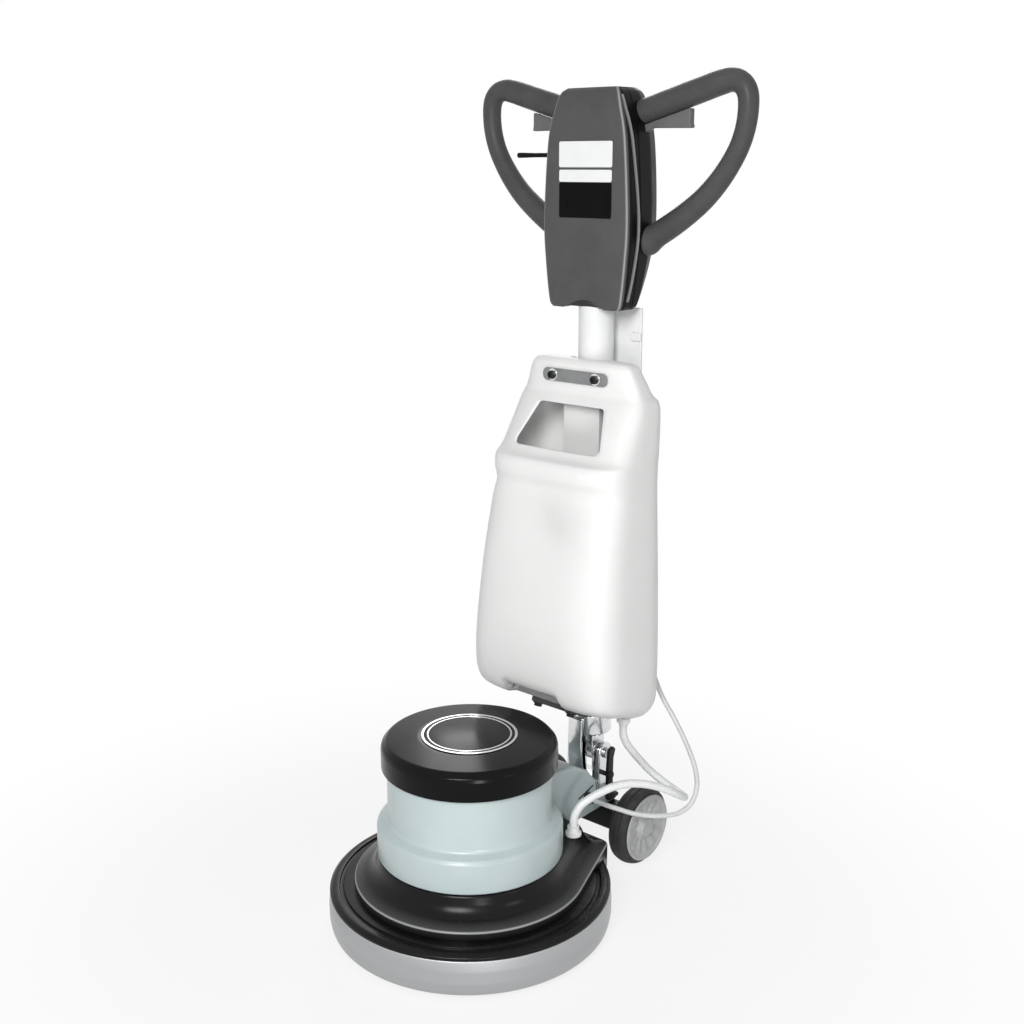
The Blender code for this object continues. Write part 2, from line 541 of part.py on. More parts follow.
def build_motor(mats):
    """Motor housing with its cap and badge, stator, rotor, shaft, bearings and fan."""
    floor = FLANGE_Z + MOTOR_FLOOR
    shoulder = FLANGE_Z + FLANGE_H
    inner = MOTOR_R - MOTOR_WALL
    turned("motor_housing", ((BEARING_R + GAP, FLANGE_Z), (FLANGE_R - 0.002, FLANGE_Z),
                             (FLANGE_R, FLANGE_Z + 0.002),
                             (FLANGE_R, shoulder - 0.001), (FLANGE_R - 0.003, shoulder + 0.003),
                             (MOTOR_R + 0.001, shoulder + 0.008), (MOTOR_R, MOTOR_TOP_Z),
                             (inner, MOTOR_TOP_Z),
                             (inner, floor), (BEARING_R + GAP, floor)), mats["housing_paint"])
    crown = CAP_TOP_Z + CAP_CROWN
    roof = CAP_TOP_Z - CAP_SHELL
    lip = MOTOR_R + GAP
    turned("motor_cap", ((0, roof), (0, crown), (BADGE_R + 0.006, crown), (CAP_R - 0.010, CAP_TOP_Z),
                         (CAP_R - 0.003, CAP_TOP_Z - 0.004), (CAP_R, CAP_TOP_Z - 0.011), (CAP_R, CAP_Z),
                         (lip, CAP_Z),
                         (lip, roof - 0.007), (MOTOR_R - 0.006, roof))[::-1], mats["cap_gloss"])
    badge_z = crown + GAP
    face = badge_z + BADGE_FACE
    raised = badge_z + BADGE_T
    turned("cap_badge", ((0, badge_z), (BADGE_R, badge_z), (BADGE_R, raised), (BADGE_R - 0.004, raised),
                         (BADGE_R - 0.004, face), (BADGE_R - 0.009, face), (BADGE_R - 0.009, raised),
                         (BADGE_R - 0.012, raised), (BADGE_R - 0.012, face), (0, face)),
                         mats["badge_silver"])

    core_z = floor + 0.022
    core_top = MOTOR_TOP_Z - 0.055
    outer = inner - GAP
    turned("stator", ((STATOR_IN, core_z), (STATOR_IN + 0.006, core_z - 0.004),
                      (STATOR_IN + 0.008, core_z - 0.016),
                      (outer - 0.016, core_z - 0.016), (outer - 0.012, core_z), (outer, core_z),
                      (outer, core_top),
                      (outer - 0.012, core_top), (outer - 0.016, core_top + 0.014),
                      (STATOR_IN + 0.008, core_top + 0.014), (STATOR_IN + 0.006, core_top + 0.004),
                      (STATOR_IN, core_top)), mats["stator_copper"])
    bore = SHAFT_R + GAP
    shield_z = MOTOR_TOP_Z - 0.037
    shield_top = shield_z + BEARING_T
    air = 0.0008
    sleeve("rotor", bore, STATOR_IN - air, core_z, core_top, mats["rotor_iron"], facets=MID_ROUND)
    sleeve("lower_bearing", bore, BEARING_R, FLANGE_Z, floor, mats["bearing_steel"])
    sleeve("upper_bearing", bore, BEARING_R, shield_z, shield_top, mats["bearing_steel"])
    sleeve("end_shield", BEARING_R + GAP, outer, shield_z, shield_top, mats["cast_aluminium"], facets=ROUND)

    gear_top = GEAR_Z + GEAR_T
    neck_r = SHAFT_R - 0.003
    fan_z = shield_top + 0.004
    root_r = MODULE * (SUN_TEETH / 2 - 1.05)
    shaft = turned("motor_shaft", ((0, gear_top - 0.001), (root_r, gear_top - 0.001),
                                   (root_r, FLANGE_Z - 0.004),
                                   (SHAFT_R, FLANGE_Z - 0.003), (SHAFT_R, shield_top + 0.002),
                                   (neck_r, shield_top + 0.002), (neck_r, fan_z + 0.020),
                                   (0, fan_z + 0.020)),
                   mats["steel"])
    join(shaft, prism("sun_teeth", "Z", gear_outline(SUN_TEETH), GEAR_Z, gear_top, None))
    bore = neck_r + GAP
    disc = fan_z + FAN_DISC_T
    fan = turned("cooling_fan", ((bore, fan_z), (FAN_R, fan_z), (FAN_R, disc), (FAN_HUB_R, disc),
                                 (FAN_HUB_R, fan_z + FAN_H), (bore, fan_z + FAN_H)), mats["fan_plastic"],
                                 MID_ROUND)
    for i in range(FAN_BLADES):
        blade = block(f"fan_blade_{i + 1}", (FAN_HUB_R - 0.003, -FAN_BLADE_T / 2, fan_z + FAN_DISC_T / 2),
                      (FAN_R - 0.004, FAN_BLADE_T / 2, fan_z + FAN_H - 0.001), None)
        blade.data.transform(Matrix.Rotation(2 * math.pi * i / FAN_BLADES, 4, "Z"))
        join(fan, blade)


def build_chassis(mats):
    """The neck behind the motor, the handle hinge with its stop and lock, and the axle in its bracket."""
    under = AXLE_Z + BRACKET_T + GAP
    shelf = under + SHELF_H
    rear = POLE_Y + FOOT_HALF
    front = MOTOR_R - 0.0265
    neck = prism("rear_neck", "X", ((front, FLANGE_Z), (COVER_REAR_Y - 0.037, FLANGE_Z),
                                    (COVER_REAR_Y - 0.023, under),
                                    (rear, under), (rear, shelf), (POLE_Y - 0.030, shelf),
                                    (POLE_Y - 0.036, shelf + 0.020), (POLE_Y - 0.056, shelf + 0.046),
                                    (POLE_Y - 0.097, shelf + 0.070), (POLE_Y - 0.136, shelf + 0.083),
                                    (front + 0.045, shelf + 0.086), (front, shelf + 0.070)),
                 -NECK_HALF, NECK_HALF, mats["neck_paint"])
    bevel(neck, 0.006, 2)
    shoulder = FLANGE_Z + FLANGE_H
    cut(neck, turned("neck_bore", ((0, FLANGE_Z - THROUGH), (FLANGE_R + GAP, FLANGE_Z - THROUGH),
                                   (FLANGE_R + GAP, shoulder + 0.003),
                                   (MOTOR_R + 0.001 + GAP, shoulder + 0.0085),
                                   (MOTOR_R + 0.001 + GAP, CAP_Z), (0, CAP_Z)), None))

    foot = shelf + GAP
    slot = foot + FOOT_H
    axis = at(0, POLE_Y, HINGE_Z) @ ALONG_X
    outline = [(POLE_Y - FOOT_HALF, foot), (POLE_Y + FOOT_HALF, foot)]
    outline += arc((POLE_Y, HINGE_Z), EAR_R, 0.0, math.pi, 8)
    yoke = prism("hinge_yoke", "X", outline, -EAR_HALF, EAR_HALF, mats["chrome"])
    half = LUG_HALF + GAP
    cut(yoke, block("yoke_slot", (-half, POLE_Y - 2 * FOOT_HALF, slot),
                    (half, POLE_Y + 2 * FOOT_HALF, SOCKET_Z), None))
    cut(yoke, rod("yoke_bore", PIN_R + GAP, -EAR_HALF - THROUGH, EAR_HALF + THROUGH, None, axis))
    rod("hinge_pin", PIN_R, -EAR_HALF, EAR_HALF, mats["pin_steel"], axis)

    face = POLE_Y - POLE_R - SOCKET_WALL - 2 * GAP
    heel = POLE_Y - FOOT_HALF - GAP
    rest = SOCKET_TOP_Z - 0.006
    prism("handle_stop", "X", ((heel, foot + 0.004), (heel, foot + 0.018), (heel - 0.010, foot + 0.036),
                               (face, foot + 0.058), (face, rest), (face - 0.005, rest),
                               (face - 0.007, foot + 0.080),
                               (face - 0.005, foot + 0.056), (heel - 0.015, foot + 0.032)),
          -0.014, 0.014, mats["stop_chrome"])
    lever_y = POLE_Y - 0.008
    lever_z = slot + 0.012
    shape = ((-0.007, -0.044), (0.006, -0.047), (0.024, -0.045), (0.024, -0.039), (0.009, -0.035),
             (0.007, -0.008),
             (0.008, 0.030), (0.013, 0.044), (0.007, 0.050), (-0.004, 0.046), (-0.007, 0.010))
    lever_x = NECK_HALF + 2 * GAP
    outline = [(lever_y + a, lever_z + b) for a, b in shape]
    lever = prism("lock_lever", "X", outline, lever_x, lever_x + LEVER_T, mats["lever_steel"])
    axis = at(0, lever_y, lever_z) @ ALONG_X
    join(lever, rod("lever_stub", LEVER_STUB_R, LUG_HALF + 0.003, lever_x + LEVER_T / 2, None, axis))
    cut(yoke, rod("lever_bore", LEVER_STUB_R + GAP, LUG_HALF - THROUGH, EAR_HALF + THROUGH, None, axis))
    pivot(lever, (EAR_HALF, lever_y, lever_z))

    side = HUB_BACK_X - 0.001
    axis = at(0, AXLE_Y, AXLE_Z) @ ALONG_X
    bracket = block("axle_bracket", (-side, AXLE_Y - 0.024, AXLE_Z - 0.016),
                    (side, AXLE_Y + 0.022, under - GAP),
                    mats["bracket_paint"])
    bevel(bracket, 0.003)
    cut(bracket, rod("bracket_bore", AXLE_R + GAP, -side - THROUGH, side + THROUGH, None, axis))
    reach = HUB_FACE_X - 0.006
    rod("wheel_axle", AXLE_R, -reach, reach, mats["pin_steel"], axis)


def build_wheels(mats):
    """A hub and a tyre at each end of the axle."""
    bore = AXLE_R + GAP
    blind = HUB_FACE_X - 0.005
    dish = HUB_FACE_X - 0.010
    hub = ((bore, HUB_BACK_X), (HUB_BOSS_R, HUB_BACK_X), (HUB_BOSS_R + 0.002, HUB_BACK_X + 0.006),
           (HUB_R - 0.004, HUB_BACK_X + 0.008), (HUB_R, HUB_BACK_X + 0.010), (HUB_R, HUB_FACE_X - 0.006),
           (HUB_R - 0.006, HUB_FACE_X - 0.006), (HUB_R - 0.012, dish), (HUB_BOSS_R + 0.004, dish),
           (HUB_BOSS_R, HUB_FACE_X), (0, HUB_FACE_X), (0, blind), (bore, blind))
    seat = HUB_R + GAP
    inner = HUB_BACK_X + 0.007
    outer = HUB_FACE_X - 0.004
    tyre = ((seat, inner + 0.002), (HUB_R + 0.010, inner), (WHEEL_R - 0.004, inner + 0.004),
            (WHEEL_R, inner + 0.011),
            (WHEEL_R, outer - 0.011), (WHEEL_R - 0.004, outer - 0.004), (HUB_R + 0.010, outer),
            (seat, outer - 0.002))
    for name, sign in (("right", 1.0), ("left", -1.0)):
        place = at(0, AXLE_Y, AXLE_Z) @ Matrix.Scale(sign, 4, (1, 0, 0)) @ ALONG_X
        for part, profile in (("wheel_hub", hub), ("tyre", tyre)):
            piece = turned(f"{part}_{name}", profile, mats[f"{part}_{name}"], MID_ROUND, place)
            pivot(piece, (0, AXLE_Y, AXLE_Z))


def tank_ring(level, inset):
    """One tank level as a ring that rises to the front, drawn in by a wall."""
    height, rise, half, front, rear = level
    z = min(max(height, TANK_LEVELS[0][0] + inset), TANK_LEVELS[-1][0] - inset)
    ring = oval(half - inset, front + inset, rear - inset, z)
    return [(x, POLE_Y + y, TANK_Z + z + rise * (rear - y) / (rear - front)) for x, y, z in ring]


def hex_bolt(name, mat, place):
    """A round washer face with a hexagon head on it, pointing along its own +Z."""
    washer = 0.0015
    head = rod(name, BOLT_R, 0, washer, mat, place)
    join(head, rod(f"{name}_hexagon", BOLT_HEX_R, washer / 2, BOLT_H, None, place, facets=6))


def build_tank(mats):
    """The solution tank in front of the pole, with its plates, outlet and rear panel."""
    roof = TANK_Z + TANK_LEVELS[-1][0] + CHANNEL_OVER
    tank = loft("solution_tank", [tank_ring(level, 0.0) for level in TANK_LEVELS], mats["tank_hdpe"])
    cavity = loft("tank_cavity", [tank_ring(level, TANK_WALL) for level in TANK_LEVELS[1:-1]], None)
    groove = POLE_R + GAP + CHANNEL_CLEAR
    wall = groove + TANK_WALL
    behind = POLE_Y + CHANNEL_BEHIND
    below = 0.0
    cut(cavity, block("channel_wall", (-wall, POLE_Y - wall, below), (wall, behind, roof), None))
    cut(tank, cavity)
    cut(tank, block("pole_channel", (-groove, POLE_Y - groove, below), (groove, behind, roof), None))
    wide, narrow, low, high = MOUTH
    mouth = ((-wide, TANK_Z + low), (wide, TANK_Z + low), (narrow, TANK_Z + high), (-narrow, TANK_Z + high))
    ahead = POLE_Y + TANK_LEVELS[3][3] - MOUTH_AHEAD
    cut(tank, prism("tank_mouth", "Y", mouth, ahead, POLE_Y - wall - 0.008, None))

    plate_y = POLE_Y + TANK_LEVELS[PLATE_LEVEL][3] - GAP
    plate_z = TANK_Z + TANK_LEVELS[PLATE_LEVEL][0] + 0.012
    plate = block("tank_top_plate", (-PLATE_HALF, plate_y - PLATE_T, plate_z),
                  (PLATE_HALF, plate_y, plate_z + PLATE_H),
                  mats["plate_grey"])
    bevel(plate, 0.0015)
    _, rise, _, front, rear = TANK_LEVELS[0]
    seat = at(0, POLE_Y + rear, TANK_Z) @ Matrix.Rotation(-math.atan2(rise, rear - front), 4, "X")
    strap_front = front - rear + 0.012
    strap_rear = -POLE_R - 0.012 - rear
    strap = block("tank_bottom_strap", (-STRAP_HALF, strap_front, -STRAP_T - GAP),
                  (STRAP_HALF, strap_rear, -GAP),
                  mats["strap_steel"])
    slot = block("strap_slot", (-STRAP_SLOT_HALF, strap_front + 0.018, -2 * STRAP_T),
                 (STRAP_SLOT_HALF, strap_front + 0.030, STRAP_T), None)
    for piece in (strap, slot):
        piece.data.transform(seat)
    cut(strap, slot)
    for i, sign in enumerate((-1.0, 1.0)):
        high = at(sign * (PLATE_HALF - PLATE_BOLT_IN), plate_y - PLATE_T - GAP,
                  plate_z + PLATE_H / 2) @ BACK_Y
        low = seat @ at(sign * (STRAP_HALF - STRAP_BOLT_IN), strap_front + 0.010, -STRAP_T - 2 * GAP) @ DOWN
        hex_bolt(f"plate_bolt_{i + 1}", mats["bolt_black"], high)
        hex_bolt(f"strap_bolt_{i + 1}", mats["bolt_black"], low)

    outlet_x, outlet_y, outlet_z = HOSE_START
    collar = HOSE_R + 0.005
    top = TANK_Z + rise * (POLE_Y + rear - outlet_y - collar) / (rear - front) - GAP
    turned("outlet_fitting", ((0, outlet_z + GAP), (HOSE_R, outlet_z + GAP), (HOSE_R, outlet_z + 0.004),
                              (collar, outlet_z + 0.004), (collar, top), (0, top)),
           mats["fitting_nylon"], SMALL_ROUND, at(outlet_x, outlet_y, 0))
    rib_y = POLE_Y + TANK_BACK + GAP
    panel_y = rib_y + RIB_T
    panel = block("rear_panel", (-PANEL_HALF, panel_y, PANEL_Z),
                  (PANEL_HALF, panel_y + PANEL_T, CONSOLE_Z - GAP),
                  mats["panel_white"])
    for i, sign in enumerate((-1.0, 1.0)):
        ends = sorted((sign * (PANEL_HALF - 0.022), sign * (PANEL_HALF - 0.007)))
        join(panel, block(f"panel_rib_{i + 1}", (ends[0], rib_y, PANEL_Z + RIB_UP),
                          (ends[1], panel_y + PANEL_T / 2, PANEL_Z + RIB_UP + RIB_H), None))


def console_rings(inset):
    """The console's outline at each level, drawn in by a wall."""
    rings = []
    for height, half, front, rear in CONSOLE_LEVELS:
        z = min(max(height, inset), CONSOLE_LEVELS[-1][0] - inset)
        rings.append(oval(half - inset, POLE_Y + front + inset, POLE_Y + rear - inset, CONSOLE_Z + z,
                          power=5.0))
    return rings[1:-1] if inset else rings


def console_shell(name, mat, low_y, high_y):
    """One half of the console: the hollow body less all that lies between two depths."""
    roof = CONSOLE_Z + CONSOLE_LEVELS[-1][0] + THROUGH
    below = CONSOLE_Z - THROUGH
    aside = CONSOLE_LEVELS[3][1] + THROUGH
    shell = loft(name, console_rings(0.0), mat)
    cut(shell, loft(f"{name}_cavity", console_rings(CONSOLE_WALL), None))
    cut(shell, block(f"{name}_away", (-aside, low_y, below), (aside, high_y, roof), None))
    middle = CONSOLE_Z + CONSOLE_LEVELS[3][0]
    cut(shell, rod(f"{name}_bore", POLE_R + GAP, below, middle, None, at(0, POLE_Y, 0), facets=MID_ROUND))
    return shell


def build_handle(mats):
    """The pole in its socket, the console with its label, switch and gland."""
    stand = at(0, POLE_Y, 0)
    socket = sleeve("handle_socket", POLE_R + GAP, POLE_R + SOCKET_WALL, SOCKET_Z, SOCKET_TOP_Z,
                    mats["socket_chrome"],
                    stand, MID_ROUND)
    floor = SOCKET_Z + SOCKET_FLOOR
    join(socket, rod("socket_floor", POLE_R + 0.75 * SOCKET_WALL, SOCKET_Z, floor, None, stand, MID_ROUND))
    lug = [(POLE_Y + LUG_R, SOCKET_Z + SOCKET_FLOOR / 2), (POLE_Y - LUG_R, SOCKET_Z + SOCKET_FLOOR / 2)]
    lug += arc((POLE_Y, HINGE_Z), LUG_R, math.pi, math.pi, 8)
    join(socket, prism("socket_lug", "X", lug, -LUG_HALF, LUG_HALF, None))
    axis = at(0, POLE_Y, HINGE_Z) @ ALONG_X
    cut(socket, rod("socket_bore", PIN_R + GAP, -EAR_HALF - THROUGH, EAR_HALF + THROUGH, None, axis))
    pivot(socket, (0, POLE_Y, HINGE_Z))
    sleeve("pole", POLE_R - POLE_WALL, POLE_R, floor + GAP, POLE_TOP_Z, mats["pole_white"], stand,
           MID_ROUND)

    back = POLE_Y + CONSOLE_BACK + THROUGH
    ahead = POLE_Y + CONSOLE_LEVELS[3][2] - THROUGH
    console_shell("console_front", mats["console_front"], POLE_Y, back)
    rear = console_shell("console_rear", mats["console_rear"], ahead, POLE_Y + GAP)
    low, high = (CONSOLE_LEVELS[level] for level in LABEL_LEVELS)
    plate_y = POLE_Y + low[2] - GAP
    label = block("label_panel", (-LABEL_HALF, plate_y - LABEL_T, CONSOLE_Z + low[0]),
                  (LABEL_HALF, plate_y, CONSOLE_Z + high[0]), mats["label_white"])
    bevel(label, LABEL_T / 2)
    block("switch_block", (-0.026, POLE_Y - 0.020, POLE_TOP_Z + GAP),
          (0.026, POLE_Y + 0.022, POLE_TOP_Z + 0.028),
          mats["switch_plastic"])
    turned("mains_gland", ((0, 0), (GLAND_R, 0), (GLAND_R, 0.006), (GLAND_R - 0.004, 0.008),
                           (GLAND_R - 0.005, GLAND_H), (0, GLAND_H)), mats["gland_rubber"], SMALL_ROUND,
           at(0, POLE_Y + CONSOLE_BACK + GAP, CONSOLE_Z + low[0] + 0.030) @ ALONG_Y)
    for name, sign in (("right", 1.0), ("left", -1.0)):
        build_grip(mats, rear, name, sign)
    build_water_lever(mats, rear)


def build_grip(mats, rear, name, sign):
    """One handle loop and the trigger under it, with the holes they need in the console's rear shell."""
    path = [(sign * x, LOOP_Y, CONSOLE_Z + z) for x, z, _ in LOOP_PATH]
    tube(f"handle_loop_{name}", path, LOOP_R, mats[f"loop_{name}"],
         swell=[share for _, _, share in LOOP_PATH])
    for i, (start, end) in enumerate(((path[0], path[2]), (path[-1], path[-3]))):
        cut(rear, rod(f"loop_hole_{name}_{i + 1}", LOOP_R + GAP + LOOP_HOLE_CLEAR, -0.004, 0.075, None,
                      aligned(start, end)))
    _, (x_1, z_1, _), (x_2, z_2, _) = LOOP_PATH[:3]
    slope = (z_2 - z_1) / (x_2 - x_1)
    under = CONSOLE_Z + z_1 - LOOP_R * math.sqrt(1 + slope * slope) - 4 * GAP
    inner = TRIGGER_X - TRIGGER_HALF
    outer = TRIGGER_X + TRIGGER_REACH
    outline = ((inner, TRIGGER_Z), (TRIGGER_X + 0.014, TRIGGER_Z), (TRIGGER_X + 0.024, TRIGGER_Z + 0.006),
               (outer, TRIGGER_Z + 0.006), (outer, under + slope * (outer - x_1)),
               (inner, under + slope * (inner - x_1)))
    trigger = prism(f"trigger_{name}", "Y", [(sign * x, z) for x, z in outline], LOOP_Y - TRIGGER_HALF,
                    LOOP_Y + TRIGGER_HALF, mats[f"trigger_{name}"])
    join(trigger, rod(f"trigger_stub_{name}", TRIGGER_HALF / 2, TRIGGER_Z - 0.008, TRIGGER_Z + 0.004, None,
                      at(sign * TRIGGER_X, LOOP_Y, 0)))
    ends = sorted((sign * (inner - 0.004), sign * (TRIGGER_X + 0.050)))
    cut(rear, block(f"trigger_slot_{name}", (ends[0], LOOP_Y - TRIGGER_HALF - 5 * GAP, TRIGGER_Z - 2 * GAP),
                    (ends[1], LOOP_Y + TRIGGER_HALF + TRIGGER_SWING, CONSOLE_Z + z_1), None))
    pivot(trigger, (sign * TRIGGER_X, LOOP_Y, TRIGGER_Z))


def build_water_lever(mats, rear):
    """The thin lever that opens the water valve, on a stub inside the console."""
    place = at(WATER_X, WATER_Y, WATER_Z) @ Matrix.Rotation(-math.pi / 2, 4, "Y")
    lever = rod("water_lever", WATER_R, -0.006, WATER_REACH, mats["lever_black"], place, 10)
    join(lever, rod("water_stub", 0.0025, WATER_Y - 0.010, WATER_Y + 0.012, None,
                    at(WATER_X, 0, WATER_Z) @ ALONG_Y))
    room = WATER_R + 2 * GAP
    cut(rear, block("water_slot", (WATER_X - 0.040, WATER_Y - room, WATER_Z - room),
                    (WATER_X - 0.002, WATER_Y + room, WATER_Z + 0.010), None))
    pivot(lever, (WATER_X, WATER_Y, WATER_Z))


def build_lines(mats):
    """The water hose and the motor lead, with the fittings they end in."""
    tube("solution_hose", hung(HOSE_ROUTE, HOSE_START, HOSE_END), HOSE_R, mats["hose_pvc"])
    end_x, end_y, end_z = HOSE_END
    seat = FLANGE_Z - GAP
    neck = HOSE_R + 0.003
    turned("hose_inlet", ((0, seat), (INLET_R, seat), (INLET_R, seat + 0.005), (neck, seat + 0.006),
                          (neck, end_z - GAP), (0, end_z - GAP)), mats["fitting_nylon"], SMALL_ROUND,
           at(end_x, end_y, 0))
    tube("motor_lead", hung(LEAD_ROUTE, LEAD_START, LEAD_END), LEAD_R, mats["lead_rubber"], 1)
    end_x, end_y, end_z = LEAD_END
    side = NECK_HALF + GAP
    reach = end_x - GAP - side
    turned("lead_gland", ((0, 0), (0.010, 0), (0.010, 0.006), (0.0065, 0.008), (0.0055, reach), (0, reach)),
           mats["gland_rubber"], SMALL_ROUND, at(side, end_y, end_z) @ ALONG_X)


def materials():
    """One Principled material for each kind of surface: colour, roughness, metallic."""
    looks = {
        "black_gloss": ((0.02, 0.02, 0.022), 0.25, 0.0),
        "deck_gloss": ((0.02, 0.02, 0.022), 0.22, 0.0),
        "cap_gloss": ((0.012, 0.012, 0.013), 0.15, 0.0),
        "satin_silver": ((0.70, 0.70, 0.70), 0.28, 1.0),
        "badge_silver": ((0.75, 0.75, 0.76), 0.25, 1.0),
        "housing_paint": ((0.55, 0.63, 0.62), 0.40, 0.0),
        "neck_paint": ((0.55, 0.63, 0.62), 0.40, 0.0),
        "steel": ((0.55, 0.55, 0.56), 0.35, 1.0),
        "pin_steel": ((0.60, 0.60, 0.61), 0.30, 1.0),
        "bearing_steel": ((0.65, 0.65, 0.66), 0.25, 1.0),
        "ring_steel": ((0.50, 0.50, 0.51), 0.35, 1.0),
        "gear_steel_1": ((0.52, 0.52, 0.53), 0.35, 1.0),
        "gear_steel_2": ((0.52, 0.52, 0.53), 0.35, 1.0),
        "gear_steel_3": ((0.52, 0.52, 0.53), 0.35, 1.0),
        "cast_aluminium": ((0.60, 0.60, 0.60), 0.50, 1.0),
        "pad_fibre": ((0.03, 0.025, 0.022), 0.95, 0.0),
        "driver_plastic": ((0.03, 0.03, 0.03), 0.60, 0.0),
        "stator_copper": ((0.45, 0.22, 0.12), 0.45, 1.0),
        "rotor_iron": ((0.40, 0.40, 0.41), 0.50, 1.0),
        "fan_plastic": ((0.04, 0.04, 0.04), 0.60, 0.0),
        "chrome": ((0.80, 0.80, 0.80), 0.10, 1.0),
        "stop_chrome": ((0.80, 0.80, 0.80), 0.10, 1.0),
        "socket_chrome": ((0.80, 0.80, 0.80), 0.10, 1.0),
        "lever_steel": ((0.03, 0.03, 0.03), 0.45, 0.0),
        "bracket_paint": ((0.02, 0.02, 0.02), 0.50, 0.0),
        "wheel_hub_right": ((0.45, 0.46, 0.47), 0.50, 0.0),
        "wheel_hub_left": ((0.45, 0.46, 0.47), 0.50, 0.0),
        "tyre_right": ((0.02, 0.02, 0.02), 0.80, 0.0),
        "tyre_left": ((0.02, 0.02, 0.02), 0.80, 0.0),
        "tank_hdpe": ((0.85, 0.85, 0.84), 0.40, 0.0),
        "plate_grey": ((0.20, 0.20, 0.21), 0.50, 0.0),
        "strap_steel": ((0.08, 0.08, 0.08), 0.50, 0.0),
        "bolt_black": ((0.02, 0.02, 0.02), 0.45, 0.0),
        "fitting_nylon": ((0.80, 0.80, 0.79), 0.45, 0.0),
        "panel_white": ((0.80, 0.80, 0.79), 0.45, 0.0),
        "pole_white": ((0.82, 0.82, 0.81), 0.30, 0.0),
        "console_front": ((0.06, 0.06, 0.062), 0.45, 0.0),
        "console_rear": ((0.02, 0.02, 0.02), 0.45, 0.0),
        "label_white": ((0.85, 0.85, 0.85), 0.40, 0.0),
        "switch_plastic": ((0.05, 0.05, 0.05), 0.50, 0.0),
        "gland_rubber": ((0.02, 0.02, 0.02), 0.70, 0.0),
        "loop_right": ((0.04, 0.04, 0.04), 0.50, 0.0),
        "loop_left": ((0.04, 0.04, 0.04), 0.50, 0.0),
        "trigger_right": ((0.20, 0.20, 0.21), 0.50, 0.0),
        "trigger_left": ((0.20, 0.20, 0.21), 0.50, 0.0),
        "lever_black": ((0.02, 0.02, 0.02), 0.40, 0.0),
        "hose_pvc": ((0.85, 0.86, 0.86), 0.35, 0.0),
        "lead_rubber": ((0.75, 0.75, 0.75), 0.50, 0.0),
    }
    return {name: material(name, *look) for name, look in looks.items()}


def main():
    for obj in list(bpy.data.objects):
        bpy.data.objects.remove(obj)
    mats = materials()
    build_disc(mats)
    build_gears(mats)
    build_motor(mats)
    build_chassis(mats)
    build_wheels(mats)
    build_tank(mats)
    build_handle(mats)
    build_lines(mats)


main()
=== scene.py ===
"""Looks of the rotary floor machine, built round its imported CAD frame.

Metres, in the CAD frame: the front is -Y, +Z is up, and the origin is on the spindle axis at the floor.
Every new piece is a surface on a numpy grid, closed into a solid, and stands where its CAD node is.
"""

import math

import bmesh
import bpy
import numpy as np
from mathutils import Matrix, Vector


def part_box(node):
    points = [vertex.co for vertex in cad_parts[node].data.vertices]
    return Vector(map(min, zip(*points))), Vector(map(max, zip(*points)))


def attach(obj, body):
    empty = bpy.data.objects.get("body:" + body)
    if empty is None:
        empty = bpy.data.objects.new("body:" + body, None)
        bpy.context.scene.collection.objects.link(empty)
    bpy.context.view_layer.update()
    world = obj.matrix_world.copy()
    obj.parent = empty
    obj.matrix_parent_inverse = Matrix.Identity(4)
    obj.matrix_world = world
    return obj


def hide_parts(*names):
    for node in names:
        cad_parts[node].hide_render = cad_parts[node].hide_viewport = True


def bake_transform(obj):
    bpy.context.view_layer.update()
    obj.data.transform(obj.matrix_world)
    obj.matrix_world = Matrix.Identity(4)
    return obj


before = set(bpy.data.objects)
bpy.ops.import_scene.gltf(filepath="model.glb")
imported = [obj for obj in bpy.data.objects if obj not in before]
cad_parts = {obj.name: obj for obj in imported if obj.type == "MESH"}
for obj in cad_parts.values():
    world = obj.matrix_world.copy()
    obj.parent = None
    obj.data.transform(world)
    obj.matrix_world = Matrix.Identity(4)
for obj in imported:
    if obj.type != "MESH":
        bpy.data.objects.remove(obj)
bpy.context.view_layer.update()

# Sizes shared with the CAD source
GAP = 0.0003
PAD_R, PAD_T = 0.203, 0.022
SKIRT_R, SKIRT_IN, SKIRT_LIP = 0.220, 0.2085, 0.007
DECK_Z, CASE_R = 0.0745, 0.0856
COVER_R, COVER_TAPER, COVER_REAR_Y, COVER_TAIL_Z = 0.180, math.radians(21.5), 0.211, 0.048
FLANGE_Z, FLANGE_R, MOTOR_R, MOTOR_TOP_Z, SHAFT_BORE_R = 0.125, 0.1435, 0.1265, 0.277, 0.0263
SHOULDER_Z = FLANGE_Z + 0.050
CAP_R, CAP_Z, CAP_TOP_Z, CAP_CROWN, BADGE_R = 0.135, 0.268, 0.311, 0.004, 0.0735
NECK_HALF, POLE_Y, POLE_R, HINGE_Z = 0.045, 0.300, 0.028, 0.190
BRACKET_T, SHELF_H, FOOT_HALF = 0.018, 0.030, 0.022
EAR_HALF, EAR_R, LUG_HALF, LUG_R, PIN_R = 0.034, 0.018, 0.018, 0.017, 0.006
AXLE_Y, AXLE_Z, AXLE_BORE_R, WHEEL_R, HUB_R = 0.299, 0.082, 0.0083, 0.066, 0.046
HUB_FACE_X, HUB_BACK_X, FACE_R = 0.126, 0.080, 0.0560
SOCKET_Z, SOCKET_TOP_Z, SOCKET_WALL = 0.225, 0.262, 0.008
POLE_IN_R, POLE_TOP_Z = 0.025, 1.195
CONSOLE_SPLIT_Y = 0.300
LOOP_Y, LOOP_R = 0.327, 0.0185
PADDLE_IN_X, PADDLE_OUT_X, PADDLE_Z, PADDLE_HALF = 0.050, 0.149, 1.198, 0.006
TANK_WALL, TANK_BACK_Y = 0.005, 0.331
